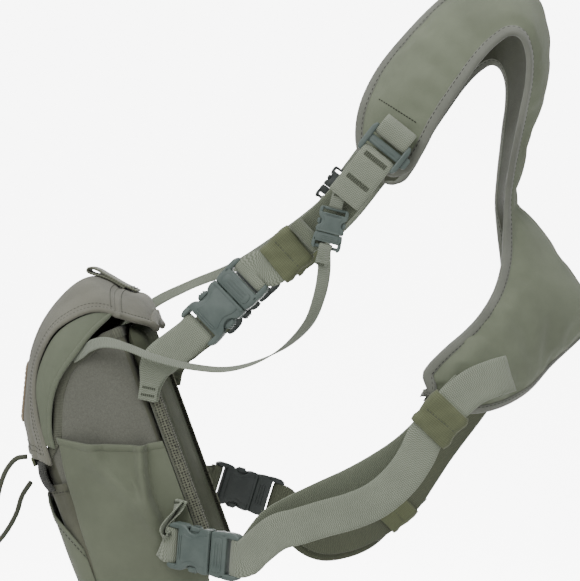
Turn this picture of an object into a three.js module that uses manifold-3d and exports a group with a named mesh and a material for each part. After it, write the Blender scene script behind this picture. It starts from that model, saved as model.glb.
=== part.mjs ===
// Binocular harness pack: a chest pack with a forward-opening lid, carried on two padded shoulder straps
// that meet in a back yoke. Side-release buckles join the straps to the pack.
//
// Units are millimetres, +Z is up. +X points from the front of the pack towards the wearer's back and +Y to the
// wearer's right, so "left" is the -Y side. The origin lies midway between the shoulders, where the undersides
// of the shoulder pads rest on them.
import * as THREE from 'three';
import { mergeVertices } from 'three/addons/utils/BufferGeometryUtils.js';
import Module from 'manifold-3d';

const wasm = await Module();
wasm.setup();

// ---- driving dimensions ------------------------------------------------------------------------------------

const GAP = 0.4;                      // between pieces that touch on the real object
const PACK_TILT = 20;                 // degrees, the pack leans forward at its top
const PACK_FOOT = [-203, 0, -415];    // the bottom of the pack's back plane
const BODY_FRONT = -100;              // pack-local u of the front wall (u = 0 is the back pad's outer face)
const BODY_REAR = -13.5;
const BODY_HALF = 78;                 // half the body's width
const BODY_WALL = 4;
const BODY_CORNER = 18;
const PAD_REAR_THICK = 10.9;          // the padded back
const LID_HALF = 80;
const LID_THICK = 3;
const POCKET_SKIN = 1.6;

const WEB_WIDTH = 25;                 // main webbing
const WEB_THICK = 1.5;
const TETHER_WIDTH = 10;
const TETHER_THICK = 1.2;
const HARNESS_EDGE = 3.5;             // harness padding: bound edge, and extra thickness at the middle
const HARNESS_CROWN = 5;
const HARNESS_BOW = 2;                 // how far the padding's middle bows out from its edges
const YOKE_WRAP = 1.8;                // 1 is flat from armhole to spine, more wraps rounder around the back
const CORD_RADIUS = 1.9;

// Side-release buckle for the main webbing, in its own frame: x along the release direction, 0 at the parting line
const BUCKLE = {
  half: 16.5, femaleLength: 36, femaleThick: 9, cavityDepth: 26, cavityHalf: 13.5, cavityHigh: 5.5,
  windowFrom: -20, windowTo: -8, maleLength: 22, maleThick: 7, tongueHalf: 3.5, tongueReach: 20,
  barThick: 3, barLong: 3.2, slotLong: 5, slotHalf: 13.2,
};
const TETHER_SCALE = [0.5, 0.62, 0.72];   // the small tether buckle is the same shape, scaled
const LADDER = { half: 16.5, long: 22, thick: 6, slotLong: 4.4 };
const KEEPER = { long: 27, innerHalf: 15, innerHigh: 10.6, wall: 1.4 };

// ---- materials ---------------------------------------------------------------------------------------------

const COLOURS = {
  smooth: 0x74786a, woven: 0x6b6c62, foam: 0x5b5c56, olive: 0x666a56, webbing: 0x7f8876, plastic: 0x4a5450,
  elastic: 0x5f6450, padding: 0x6c7163, cord: 0x4b4f45, magnet: 0x8b8f92,
};

function material(name) {
  const metal = name === 'magnet';
  const roughness = name === 'plastic' ? 0.5 : 0.85;
  return new THREE.MeshStandardMaterial({ color: COLOURS[name], roughness, metalness: metal ? 0.7 : 0 });
}

const harnessPack = new THREE.Group();
const pack = new THREE.Group();
pack.position.set(...PACK_FOOT);
pack.rotation.y = -THREE.MathUtils.degToRad(PACK_TILT);
harnessPack.add(pack);
pack.updateMatrixWorld(true);

function addPart(group, name, geometry, materialName) {
  const mesh = new THREE.Mesh(geometry, material(materialName));
  mesh.name = name;
  group.add(mesh);
}

// ---- helpers -----------------------------------------------------------------------------------------------

const vec = (x, y, z) => new THREE.Vector3(x, y, z);
const list = (rows) => rows.map((row) => vec(...row));
const SIDES = [['left', -1], ['right', 1]];

function smoothLine(points, count) {
  return new THREE.CatmullRomCurve3(points, false, 'centripetal').getSpacedPoints(count);
}

function volumeOf(positions, index) {
  let sum = 0;
  for (let i = 0; i < index.length; i += 3) {
    const [a, b, c] = [0, 1, 2].map((k) => vec().fromArray(positions, 3 * index[i + k]));
    sum += a.dot(b.cross(c)) / 6;
  }
  return sum;
}

// A closed sheet of material between two matching grids of points, given as rows of columns
function slab(inner, outer) {
  const rows = inner.length;
  const columns = inner[0].length;
  const positions = [];
  for (const grid of [inner, outer]) for (const row of grid) for (const p of row) positions.push(p.x, p.y, p.z);
  const at = (layer, row, column) => layer * rows * columns + row * columns + column;
  const index = [];
  const quad = (a, b, c, d) => index.push(a, b, c, a, c, d);
  for (let r = 0; r < rows - 1; r++) {
    for (let c = 0; c < columns - 1; c++) {
      quad(at(0, r, c), at(0, r + 1, c), at(0, r + 1, c + 1), at(0, r, c + 1));
      quad(at(1, r, c), at(1, r, c + 1), at(1, r + 1, c + 1), at(1, r + 1, c));
    }
    quad(at(0, r, 0), at(1, r, 0), at(1, r + 1, 0), at(0, r + 1, 0));
    quad(at(0, r, columns - 1), at(0, r + 1, columns - 1), at(1, r + 1, columns - 1), at(1, r, columns - 1));
  }
  for (let c = 0; c < columns - 1; c++) {
    quad(at(0, 0, c), at(0, 0, c + 1), at(1, 0, c + 1), at(1, 0, c));
    quad(at(0, rows - 1, c), at(1, rows - 1, c), at(1, rows - 1, c + 1), at(0, rows - 1, c + 1));
  }
  if (volumeOf(positions, index) < 0) index.reverse();
  const geometry = new THREE.BufferGeometry();
  geometry.setAttribute('position', new THREE.Float32BufferAttribute(positions, 3));
  geometry.setIndex(index);
  return geometry;
}

// Unit normals of a grid of points, turned to point away from a middle point
function gridNormals(grid, middle) {
  const last = grid.length - 1;
  const edge = grid[0].length - 1;
  return grid.map((row, r) => row.map((p, c) => {
    const along = grid[Math.min(r + 1, last)][c].clone().sub(grid[Math.max(r - 1, 0)][c]);
    const across = row[Math.min(c + 1, edge)].clone().sub(row[Math.max(c - 1, 0)]);
    const normal = along.cross(across).normalize();
    return normal.dot(p.clone().sub(middle)) < 0 ? normal.negate() : normal;
  }));
}

// A padded band between two edge rails: thin and bound at its edges, thicker and bowed out at the middle
function paddedBand(edgeA, edgeB, rows, columns, wrap, middle) {
  const railA = smoothLine(edgeA, rows);
  const railB = smoothLine(edgeB, rows);
  const flat = railA.map((a, r) => {
    return Array.from({ length: columns + 1 }, (_, c) => {
      const p = a.clone().lerp(railB[r], c / columns);
      p.x = a.x + (railB[r].x - a.x) * (1 - Math.pow(1 - c / columns, wrap));
      return p;
    });
  });
  const normals = gridNormals(flat, middle);
  const offset = (rise) => flat.map((row, r) => row.map((p, c) => {
    const dome = 4 * (c / columns) * (1 - c / columns);
    return p.clone().addScaledVector(normals[r][c], HARNESS_BOW * dome + rise(dome));
  }));
  return slab(offset(() => -HARNESS_EDGE / 2), offset((dome) => HARNESS_EDGE / 2 + HARNESS_CROWN * dome));
}

// Flat webbing along a smooth route. Each stop is [point, width direction]; a stop without a direction takes one
// between those of its neighbours.
function ribbon(stops, { width = WEB_WIDTH, thick = WEB_THICK, substeps = 2 } = {}) {
  const keyed = stops.map((stop, i) => (stop[1] ? i : -1)).filter((i) => i >= 0);
  const widthAt = (place) => {
    const after = keyed.find((i) => i >= place) ?? keyed[keyed.length - 1];
    const before = [...keyed].reverse().find((i) => i <= place) ?? keyed[0];
    const share = after > before ? (place - before) / (after - before) : 0;
    return stops[before][1].clone().lerp(stops[after][1], share);
  };
  const curve = new THREE.CatmullRomCurve3(stops.map((stop) => stop[0]), false, 'centripetal');
  const segments = stops.length - 1;
  const stations = Array.from({ length: segments * substeps + 1 }, (_, i) => {
    const t = i / (segments * substeps);
    const tangent = curve.getTangent(t);
    const wide = widthAt(t * segments);
    wide.addScaledVector(tangent, -wide.dot(tangent)).normalize();
    return { point: curve.getPoint(t), wide, normal: tangent.cross(wide) };
  });
  const layer = (side) => stations.map(({ point, wide, normal }) => [-1, 1].map((end) => {
    return point.clone().addScaledVector(normal, side * thick / 2).addScaledVector(wide, end * width / 2);
  }));
  return slab(layer(-1), layer(1));
}

function solid(geometry) {
  const bare = geometry.clone();
  for (const name of ['normal', 'uv']) bare.deleteAttribute(name);
  const merged = mergeVertices(bare, 1e-4);
  const triVerts = new Uint32Array(merged.index.array);
  const vertProperties = new Float32Array(merged.attributes.position.array);
  return new wasm.Manifold(new wasm.Mesh({ numProp: 3, vertProperties, triVerts }));
}

function geometryOf(manifold) {
  const mesh = manifold.getMesh();
  const geometry = new THREE.BufferGeometry();
  geometry.setAttribute('position', new THREE.Float32BufferAttribute(mesh.vertProperties, 3));
  geometry.setIndex(new THREE.Uint32BufferAttribute(mesh.triVerts, 1));
  return geometry;
}

const block = (x0, x1, y0, y1, z0, z1) => {
  const box = new THREE.BoxGeometry(x1 - x0, y1 - y0, z1 - z0);
  return solid(box.translate((x0 + x1) / 2, (y0 + y1) / 2, (z0 + z1) / 2));
};

function roundedRect(x0, x1, y0, y1, radius) {
  const shape = new THREE.Shape();
  shape.moveTo(x0 + radius, y0);
  shape.lineTo(x1 - radius, y0);
  shape.absarc(x1 - radius, y0 + radius, radius, -Math.PI / 2, 0);
  shape.lineTo(x1, y1 - radius);
  shape.absarc(x1 - radius, y1 - radius, radius, 0, Math.PI / 2);
  shape.lineTo(x0 + radius, y1);
  shape.absarc(x0 + radius, y1 - radius, radius, Math.PI / 2, Math.PI);
  shape.lineTo(x0, y0 + radius);
  shape.absarc(x0 + radius, y0 + radius, radius, Math.PI, 1.5 * Math.PI);
  return shape;
}

// An XY outline given a thickness along Z, centred on z = 0 unless told otherwise
function plate(shape, thick, z0 = -thick / 2, curveSegments = 4) {
  const geometry = new THREE.ExtrudeGeometry(shape, { depth: thick, bevelEnabled: false, curveSegments });
  return solid(geometry.translate(0, 0, z0));
}

// A side outline in pack-local (u, w), extruded across the pack
function sideProfile(shape, half, curveSegments = 4) {
  const geometry = new THREE.ExtrudeGeometry(shape, { depth: 2 * half, bevelEnabled: false, curveSegments });
  return solid(geometry.rotateX(Math.PI / 2).translate(0, half, 0));
}

// A placement: origin, x direction and the z direction as nearly as it can be kept
function placement(origin, xDirection, zHint, scale = [1, 1, 1]) {
  const x = vec(...xDirection).normalize();
  const z = vec(...zHint);
  z.addScaledVector(x, -z.dot(x)).normalize();
  const y = z.clone().cross(x);
  const group = new THREE.Group();
  group.matrix.makeBasis(x, y, z).setPosition(...origin).scale(vec(...scale));
  group.matrix.decompose(group.position, group.quaternion, group.scale);
  const point = (px, py, pz) => vec(px, py, pz).applyMatrix4(group.matrix);
  harnessPack.add(group);
  return { group, point, x, y, z };
}

const mirrorY = (points) => points.map((p) => vec(p.x, -p.y, p.z));

// ---- pack body ---------------------------------------------------------------------------------------------

const WALL_ARCH = [[-24, 199.5], [-51, 191], [-60, 186], [-72, 171], [-83.5, 142], [BODY_FRONT, 126]];

// The body's side outline, moved in by an inset, with the points of its top given
function bodyOutline(inset, top) {
  const outline = new THREE.Shape();
  outline.moveTo(BODY_REAR - inset, 14);
  for (const [u, w] of top) outline.lineTo(u, w);
  outline.lineTo(BODY_FRONT + inset, 22);
  outline.quadraticCurveTo(BODY_FRONT + inset, inset, BODY_FRONT + 22, inset);
  outline.lineTo(BODY_REAR - 14, inset);
  outline.quadraticCurveTo(BODY_REAR - inset, inset, BODY_REAR - inset, 14);
  return outline;
}

function packBody() {
  const prism = (inset, top) => {
    const plan = roundedRect(BODY_FRONT + inset, BODY_REAR - inset, -BODY_HALF + inset, BODY_HALF - inset,
      BODY_CORNER - inset);
    return sideProfile(bodyOutline(inset, top), BODY_HALF + 5).intersect(plate(plan, 300, -10, 5));
  };
  const cavity = prism(BODY_WALL, [[BODY_REAR - BODY_WALL, 260], [BODY_FRONT + BODY_WALL, 260]]);
  return geometryOf(prism(0, [[BODY_REAR, 200], ...WALL_ARCH]).subtract(cavity));
}

function backPad() {
  const outline = new THREE.Shape();
  outline.moveTo(-PAD_REAR_THICK, 6);
  outline.lineTo(-5, 6);
  outline.quadraticCurveTo(0, 6, 0, 12);
  outline.lineTo(0, 158);
  outline.lineTo(4.5, 163);
  outline.lineTo(5, 188);
  outline.quadraticCurveTo(4, 197, -PAD_REAR_THICK, 199);
  const blank = sideProfile(outline, 76);
  const plan = new THREE.ExtrudeGeometry(roundedRect(-75, 75, 6, 200, 14), { depth: 30, bevelEnabled: false,
    curveSegments: 4 });
  plan.applyMatrix4(new THREE.Matrix4().makeBasis(vec(0, 1, 0), vec(0, 0, 1), vec(1, 0, 0))).translate(-15, 0, 0);
  return geometryOf(blank.intersect(solid(plan)));
}

// A stretch pocket on a wall: it lies on the wall at its foot and ends, and stands off it towards its mouth.
// place(s, t, rise) gives the point at s along the wall and t up it, rise off the wall.
function pocketSheet(place, standOff, columns = 10, rows = 5) {
  const layer = (extra) => Array.from({ length: rows + 1 }, (_, r) => Array.from({ length: columns + 1 }, (_, c) => {
    const s = c / columns;
    const t = r / rows;
    const rise = standOff * Math.sqrt(Math.sin(Math.PI * s)) * Math.min(1, 2.5 * t);
    return place(s, t, rise + extra);
  }));
  return slab(layer(0), layer(POCKET_SKIN));
}

// The side pocket's mouth slopes down from the front to the pleat, then runs level to the back seam
const SIDE_MOUTH = new THREE.CatmullRomCurve3(list([
  [-80, 139, 0], [-64, 130, 0], [-48, 123, 0], [-21, 112, 0], [-15, 110.5, 0]]), false, 'centripetal');

function sidePocket(side) {
  const place = (s, t, rise) => {
    const top = SIDE_MOUTH.getPointAt(s);
    const foot = 18 - 6 * Math.sin(Math.PI * s);
    return vec(top.x, side * (BODY_HALF + GAP + rise), foot + (top.y - foot) * t);
  };
  return pocketSheet(place, 8);
}

function frontPocket(reach, foot, mouthMiddle, mouthEnd, wallOffset, standOff) {
  const place = (s, t, rise) => {
    const y = (2 * s - 1) * reach;
    const mouth = mouthMiddle + (mouthEnd - mouthMiddle) * Math.pow(Math.abs(2 * s - 1), 4);
    return vec(BODY_FRONT - wallOffset - rise, y, foot + (mouth - foot) * t);
  };
  return pocketSheet(place, standOff);
}

// ---- lid ---------------------------------------------------------------------------------------------------

// Lid outlines in pack-local (u, w): along the crown at y = 0, and along the stitched side edges
const LID_CROWN = list([[-111, 0, 135], [-107.5, 0, 150], [-107, 0, 163], [-100, 0, 178], [-80, 0, 213.5],
  [-62, 0, 231], [-41, 0, 242.5], [-27.5, 0, 244], [-17.5, 0, 237.5], [-7, 0, 226]]);
const LID_EDGE = list([[-93, 0, 124], [-92, 0, 140], [-90, 0, 160], [-85, 0, 180], [-76, 0, 197],
  [-58, 0, 214], [-40, 0, 219], [-24, 0, 218.5], [-13, 0, 213], [-7, 0, 207.5]]);
const TONGUE_CROWN = list([[-6, 0, 224.8], [1, 0, 216], [6, 0, 208.8], [9, 0, 202.5], [10, 0, 196.5]]);
const TONGUE_EDGE = list([[-6, 0, 206.5], [0, 0, 201.5], [6, 0, 197.5], [11, 0, 193.5], [12.5, 0, 190]]);

// Domed sheet between a crown line at the middle and an edge line at both sides. Its first rows can be squarer,
// to clear the corners of the body.
function domedSheet(crownPoints, edgePoints, halfFrom, halfTo, rows, squareness = 3) {
  const crown = smoothLine(crownPoints, rows);
  const edge = smoothLine(edgePoints, rows);
  const columns = [-1, -0.93, -0.8, -0.6, -0.3, 0, 0.3, 0.6, 0.8, 0.93, 1];
  const outer = crown.map((top, r) => columns.map((v) => {
    const half = halfFrom + (halfTo - halfFrom) * r / rows;
    const p = top.clone().lerp(edge[r], Math.pow(Math.abs(v), Math.max(3, squareness - 6 * r / rows)));
    p.y = v * half;
    return p;
  }));
  const normals = gridNormals(outer, vec(-50, 0, 130));
  const inner = outer.map((row, r) => row.map((p, c) => p.clone().addScaledVector(normals[r][c], -LID_THICK)));
  return slab(inner, outer);
}

// Stretch gusset under each side edge of the lid: a crescent that stands a little off the side wall
function lidGusset(side) {
  const upper = smoothLine(list([[-88, 0, 150], [-84, 0, 178], [-75, 0, 194], [-57, 0, 210], [-40, 0, 215.5],
    [-24, 0, 216], [-14, 0, 213]]), 12);
  const lower = smoothLine(list([[-86, 0, 141], [-79, 0, 159], [-72, 0, 171.5], [-62.5, 0, 182], [-51, 0, 191],
    [-30, 0, 204], [-15, 0, 211.5]]), 12);
  const layer = (extra) => upper.map((top, r) => [0, 0.5, 1].map((t) => {
    const p = top.clone().lerp(lower[r], t);
    p.y = side * (LID_HALF + GAP + extra + 4.2 * t * Math.sin(Math.PI * r / 12));
    return p;
  }));
  return slab(layer(0), layer(POCKET_SKIN));
}

addPart(pack, 'pack_body', packBody(), 'foam');
addPart(pack, 'back_pad', backPad(), 'padding');
addPart(pack, 'front_inner_pocket', frontPocket(66, 28, 108, 106, 0.4, 0.6), 'woven');
addPart(pack, 'front_outer_pocket', frontPocket(72, 20, 104, 60, 2.8, 7), 'smooth');
for (const [name, side] of SIDES) addPart(pack, `${name}_side_pocket`, sidePocket(side), 'smooth');
addPart(pack, 'back_magnet_bar', geometryOf(block(-13.2, -11.2, -35, 35, 180, 190)), 'magnet');

addPart(pack, 'lid_shell', domedSheet(LID_CROWN, LID_EDGE, LID_HALF, LID_HALF, 14, 5), 'woven');
addPart(pack, 'lid_tongue', domedSheet(TONGUE_CROWN, TONGUE_EDGE, LID_HALF - 2, 60, 7), 'woven');
for (const [name, side] of SIDES) addPart(pack, `lid_gusset_${name}`, lidGusset(side), 'smooth');
const PULL_LOOP = list([[-26, 0, 252], [-20, 0, 247], [-15, 0, 240.5], [-5, 0, 229.5], [3.5, 0, 218.5]]);
addPart(pack, 'lid_pull_loop', ribbon(PULL_LOOP.map((p) => [p, vec(0, 1, 0)]), { width: 24, thick: 2 }), 'webbing');
addPart(pack, 'lid_magnet_bar', geometryOf(block(1.6, 3.6, -35, 35, 199, 204.5)), 'magnet');

// ---- buckles -----------------------------------------------------------------------------------------------

function buckleFemale() {
  const b = BUCKLE;
  const body = plate(roundedRect(-b.femaleLength, 0, -b.half, b.half, 4), b.femaleThick);
  const barEnd = -b.femaleLength + b.barLong;
  const slotEnd = barEnd + b.slotLong;
  const cuts = [
    block(-b.cavityDepth, 1, -b.cavityHalf, b.cavityHalf, -b.cavityHigh / 2, b.cavityHigh / 2),
    block(b.windowFrom, b.windowTo, -b.half - 1, -b.cavityHalf + 1, -b.femaleThick, b.femaleThick),
    block(b.windowFrom, b.windowTo, b.cavityHalf - 1, b.half + 1, -b.femaleThick, b.femaleThick),
    block(barEnd, slotEnd, -b.slotHalf, b.slotHalf, -b.femaleThick, b.femaleThick),
    block(-b.femaleLength - 1, slotEnd, -b.slotHalf, b.slotHalf, b.barThick / 2, b.femaleThick),
    block(-b.femaleLength - 1, slotEnd, -b.slotHalf, b.slotHalf, -b.femaleThick, -b.barThick / 2),
  ];
  return geometryOf(cuts.reduce((rest, cut) => rest.subtract(cut), body));
}

function buckleMale() {
  const b = BUCKLE;
  const barStart = b.maleLength - b.barLong;
  const slotStart = barStart - b.slotLong;
  const base = plate(roundedRect(0.3, b.maleLength, -b.half, b.half, 4), b.maleThick)
    .subtract(block(slotStart, barStart, -b.slotHalf, b.slotHalf, -b.maleThick, b.maleThick))
    .subtract(block(slotStart, b.maleLength + 1, -b.slotHalf, b.slotHalf, b.barThick / 2, b.maleThick))
    .subtract(block(slotStart, b.maleLength + 1, -b.slotHalf, b.slotHalf, -b.maleThick, -b.barThick / 2));
  return geometryOf(base.add(block(-b.tongueReach, 2, -b.tongueHalf, b.tongueHalf, -2.2, 2.2)));
}

// One spring arm of the male half, with the button that shows in the female's side window
function buckleProng(side) {
  const arm = new THREE.Shape();
  arm.moveTo(0, side * 9);
  arm.lineTo(-16, side * 8);
  arm.lineTo(-22, side * 8.6);
  arm.lineTo(-22, side * 10.6);
  arm.lineTo(-19.6, side * 12.6);
  arm.lineTo(-18.4, side * 16.2);
  arm.lineTo(-9.6, side * 15.4);
  arm.lineTo(-8.6, side * 12.4);
  arm.lineTo(0, side * 12.4);
  return geometryOf(plate(arm, 4.6));
}

function addBuckle(name, place) {
  addPart(place.group, `${name}_buckle_female`, buckleFemale(), 'plastic');
  addPart(place.group, `${name}_buckle_male`, buckleMale(), 'plastic');
  addPart(place.group, `${name}_buckle_prong_a`, buckleProng(1), 'plastic');
  addPart(place.group, `${name}_buckle_prong_b`, buckleProng(-1), 'plastic');
}

function ladderLock() {
  const l = LADDER;
  const slot = (from) => block(from, from + l.slotLong, -BUCKLE.slotHalf, BUCKLE.slotHalf, -l.thick, l.thick);
  const bar = BUCKLE.barThick / 2;
  const clear = (low, high) => block(-l.long / 2 - 1, l.long / 2 + 1, -BUCKLE.slotHalf, BUCKLE.slotHalf, low, high);
  return geometryOf(plate(roundedRect(-l.long / 2, l.long / 2, -l.half, l.half, 4), l.thick)
    .subtract(slot(-l.long / 2 + BUCKLE.barLong)).subtract(slot(l.long / 2 - BUCKLE.barLong - l.slotLong))
    .subtract(clear(bar, l.thick)).subtract(clear(-l.thick, -bar)));
}

function keeperSleeve() {
  const k = KEEPER;
  const outerHalf = k.innerHalf + k.wall;
  const outerHigh = k.innerHigh / 2 + k.wall;
  return geometryOf(block(-k.long / 2, k.long / 2, -outerHalf, outerHalf, -outerHigh, outerHigh).subtract(
    block(-k.long, k.long, -k.innerHalf, k.innerHalf, -k.innerHigh / 2, k.innerHigh / 2)));
}

// Where webbing turns round a bar at x = bar middle: in on one face, out on the other. towards is the x side
// that the webbing comes from, and face the z side that it comes in on.
function aroundBar(place, barMiddle, towards, face) {
  const reach = BUCKLE.barLong / 2;
  const stops = [[reach + 5, 3.1], [reach, 3], [-1, 2.8], [-reach - 2.4, 0], [-1, -2.8], [reach, -3],
    [reach + 5, -3.1]];
  return stops.map(([out, high]) => [place.point(barMiddle + towards * out, 0, face * high), place.y]);
}

// Two layers of webbing run through a sleeve: this is one of them, on the sleeve's z side given by face
function throughSleeve(place, direction, face) {
  return [-15, 0, 15].map((x) => [place.point(direction * x, 0, face * 2.6), place.y]);
}

const free = (rows) => rows.map((row) => [vec(...row)]);

const FEMALE_BAR = -BUCKLE.femaleLength + BUCKLE.barLong / 2;
const MALE_BAR = BUCKLE.maleLength - BUCKLE.barLong / 2;
const LOCK_BAR = LADDER.long / 2 - BUCKLE.barLong / 2;

// ---- harness padding ---------------------------------------------------------------------------------------

// Left shoulder pad rails, from its front end over the shoulder to the yoke: the armhole edge, then the neck edge
const ARMHOLE_RAIL = list([[-74, -104, -122], [-62, -106, -105], [-50, -109, -82], [-35, -112, -59],
  [-20, -116, -38], [-8, -118, -26], [1, -119, -21], [8, -119, -24], [13, -116, -36], [13, -110, -56],
  [10, -101, -74], [7, -86, -94], [4, -71, -115], [2, -59, -136]]);
const NECK_RAIL = list([[-103, -92, -114], [-108, -90, -95], [-106, -88, -72], [-94, -84, -45], [-72, -79, -17],
  [-46, -74, 9], [-20, -70, 27], [4, -66, 30], [23, -61, 10], [30, -54, -20], [28, -44, -50], [19, -33, -76],
  [12, -17, -104], [7, -3, -136]]);
// Yoke rails, from the shoulder pad to the tip of the wing: the armhole edge, then the centre and lower edge.
// The right wing hangs lower than the left.
const YOKE_ARMHOLE = {
  left: list([[2, -58.5, -143], [0, -64, -162], [-2, -76, -182], [-9, -92, -203], [-21, -107, -221],
    [-32, -115, -232], [-42, -122, -240], [-50, -128, -247], [-57, -132, -254], [-62, -134.5, -262],
    [-62, -135, -270]]),
  right: list([[2, 58.5, -143], [4, 66, -162], [7, 76, -183], [9, 88, -205], [6, 98, -226], [1, 106, -241],
    [-4, 112, -253], [-8, 116, -263], [-11, 119, -271], [-13, 121, -279], [-13, 122, -286]]),
};
const YOKE_LOWER = {
  left: list([[9, 1, -143], [24, 1, -159], [43, 1, -185], [62, 1, -212], [72, 1, -227], [62, -17, -237],
    [35, -50, -258], [13, -82, -277], [-14, -108, -287], [-38, -124, -287], [-54, -131, -281]]),
  right: list([[9, -1, -143], [24, -1, -159], [43, -1, -185], [62, -1, -212], [72, -1, -227], [61, 17, -236],
    [43, 45, -254], [28, 72, -274], [14, 95, -288], [0, 112, -296], [-9, 119, -294]]),
};
const TORSO_MIDDLE = vec(-60, 0, -160);

const yokeHalves = [];
for (const [name, side] of SIDES) {
  const rails = side < 0 ? [ARMHOLE_RAIL, NECK_RAIL] : [mirrorY(ARMHOLE_RAIL), mirrorY(NECK_RAIL)];
  addPart(harnessPack, `${name}_shoulder_pad`, paddedBand(...rails, 22, 4, 1, TORSO_MIDDLE), 'padding');
  yokeHalves.push(solid(paddedBand(YOKE_ARMHOLE[name], YOKE_LOWER[name], 15, 5, YOKE_WRAP, TORSO_MIDDLE)));
}
addPart(harnessPack, 'back_yoke', geometryOf(yokeHalves[0].add(yokeHalves[1])), 'padding');

// ---- upper straps: pack corner - buckle - webbing - ladder lock - shoulder pad --------------------------------

for (const [name, side] of SIDES) {
  const upper = placement([-199, 90 * side, -206.5], [0.7, 0.07 * side, 0.71], [-0.12, 0.98 * side, 0.12]);
  const lock = placement([-88, 114 * side, -101], [0.62, 0, 0.78], [0, side, 0]);
  const keeper = placement([-158, 96.5 * side, -176], [0.73, 0.03 * side, 0.69], [0, side, 0]);
  addBuckle(`${name}_upper`, upper);
  addPart(lock.group, `${name}_ladder_lock`, ladderLock(), 'plastic');
  addPart(keeper.group, `${name}_front_keeper`, keeperSleeve(), 'elastic');

  const sewn = vec(0.71 * side, 0, -0.7 * side);
  const anchor = [[vec(-257, 81.5 * side, -272), sewn], [vec(-252, 82 * side, -256), sewn],
    ...aroundBar(upper, FEMALE_BAR, -1, -1), [vec(-254.5, 88 * side, -257), sewn],
    [vec(-259, 86 * side, -272), sewn]];
  addPart(harnessPack, `${name}_upper_anchor`, ribbon(anchor), 'webbing');

  const front = [[vec(-117, 115 * side, -137), lock.y], ...aroundBar(lock, -LOCK_BAR, -1, 1),
    [vec(-118, 102 * side, -139)], [vec(-134, 98 * side, -155)], ...throughSleeve(keeper, -1, -1),
    ...aroundBar(upper, MALE_BAR, 1, -1), ...throughSleeve(keeper, 1, 1), [vec(-142, 102 * side, -160), keeper.y]];
  addPart(harnessPack, `${name}_front_webbing`, ribbon(front), 'webbing');

  const onPad = [[vec(-70, 117.5 * side, -75), lock.y], ...aroundBar(lock, LOCK_BAR, 1, 1)];
  addPart(harnessPack, `${name}_pad_webbing`, ribbon(onPad), 'webbing');
}

// ---- tethers: thin straps from the front webbing into the pack, under the lid ---------------------------------

const TETHER = {
  left: { origin: [-127.4, -109.5, -161.3], along: [-0.25, 0, -0.97],
    route: [[-131, -108, -188], [-134, -107, -205], [-142, -107, -225], [-160, -107, -243],
      [-181, -106, -254], [-202, -104, -259], [-228, -102, -257], [-254, -98, -251], [-276, -96, -243],
      [-291, -92, -240.5], [-301, -87, -243], [-307, -82.5, -247], [-316, -80.2, -252]],
    widths: { 0: [0.97, 0, -0.25], 5: [0, 0, 1], 12: [0.5, 0, 0.87] } },
  right: { origin: [-129.6, 124, -125], along: [-0.58, 0, -0.81],
    route: [[-150, 122, -147], [-180, 113, -169], [-212, 104, -189], [-246, 98, -203], [-276, 94, -218],
      [-292, 90, -232], [-301, 86, -242], [-307, 82, -249], [-316, 80.2, -255]],
    widths: { 0: [-0.7, 0, 0.7], 4: [-0.45, 0, 0.89], 8: [-0.6, 0, 0.8] } },
};
for (const [name, side] of SIDES) {
  const spec = TETHER[name];
  const small = placement(spec.origin, spec.along, [0, side, 0], TETHER_SCALE);
  addBuckle(`${name}_tether`, small);
  const route = spec.route.map((row, i) => [vec(...row), spec.widths[i] && vec(...spec.widths[i])]);
  const start = [[16.3, 0], [16.9, 2.6], [19.5, 3.7], [26, 3.4]].map(([x, z]) => [small.point(x, 0, z), small.y]);
  addPart(harnessPack, `${name}_tether_strap`, ribbon([...start, ...route],
    { width: TETHER_WIDTH, thick: TETHER_THICK }), 'webbing');
}

// ---- side straps: pack flank - buckle - webbing - yoke wing --------------------------------------------------

const lowerLeft = placement([-211, -110.6, -390], [0.86, -0.49, -0.09], [-0.49, -0.87, 0]);
const lowerRight = placement([-196, 102.3, -374], [0.886, 0.342, -0.311], [-0.34, 0.93, 0]);
addBuckle('left_lower', lowerLeft);
addBuckle('right_lower', lowerRight);

// A folded tab that narrows from the buckle's bar to the pack's side seam
function lowerAnchor(place, seamLow, seamHigh) {
  const barX = -BUCKLE.femaleLength - 1;
  const corners = [-1, 1].flatMap((offset) => [
    place.point(barX, -12.5, offset), place.point(barX, 12.5, offset),
    vec(...seamLow).addScaledVector(place.z, offset), vec(...seamHigh).addScaledVector(place.z, offset),
  ]);
  return geometryOf(wasm.Manifold.hull(corners.map((corner) => corner.toArray())));
}
addPart(harnessPack, 'left_lower_anchor', lowerAnchor(lowerLeft, [-240, -83, -362], [-233, -83, -350]), 'webbing');
addPart(harnessPack, 'right_lower_anchor', lowerAnchor(lowerRight, [-239, 82, -358], [-236, 82, -346]), 'webbing');

const leftKeeper = placement([-49.5, -148, -290], [0.64, -0.08, 0.77], [0, -1, 0]);
const rightKeeper = placement([-79, 129, -391], [0.76, 0, 0.65], [0, 1, 0]);
addPart(leftKeeper.group, 'left_side_keeper', keeperSleeve(), 'elastic');
addPart(rightKeeper.group, 'right_side_keeper', keeperSleeve(), 'elastic');

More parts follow.
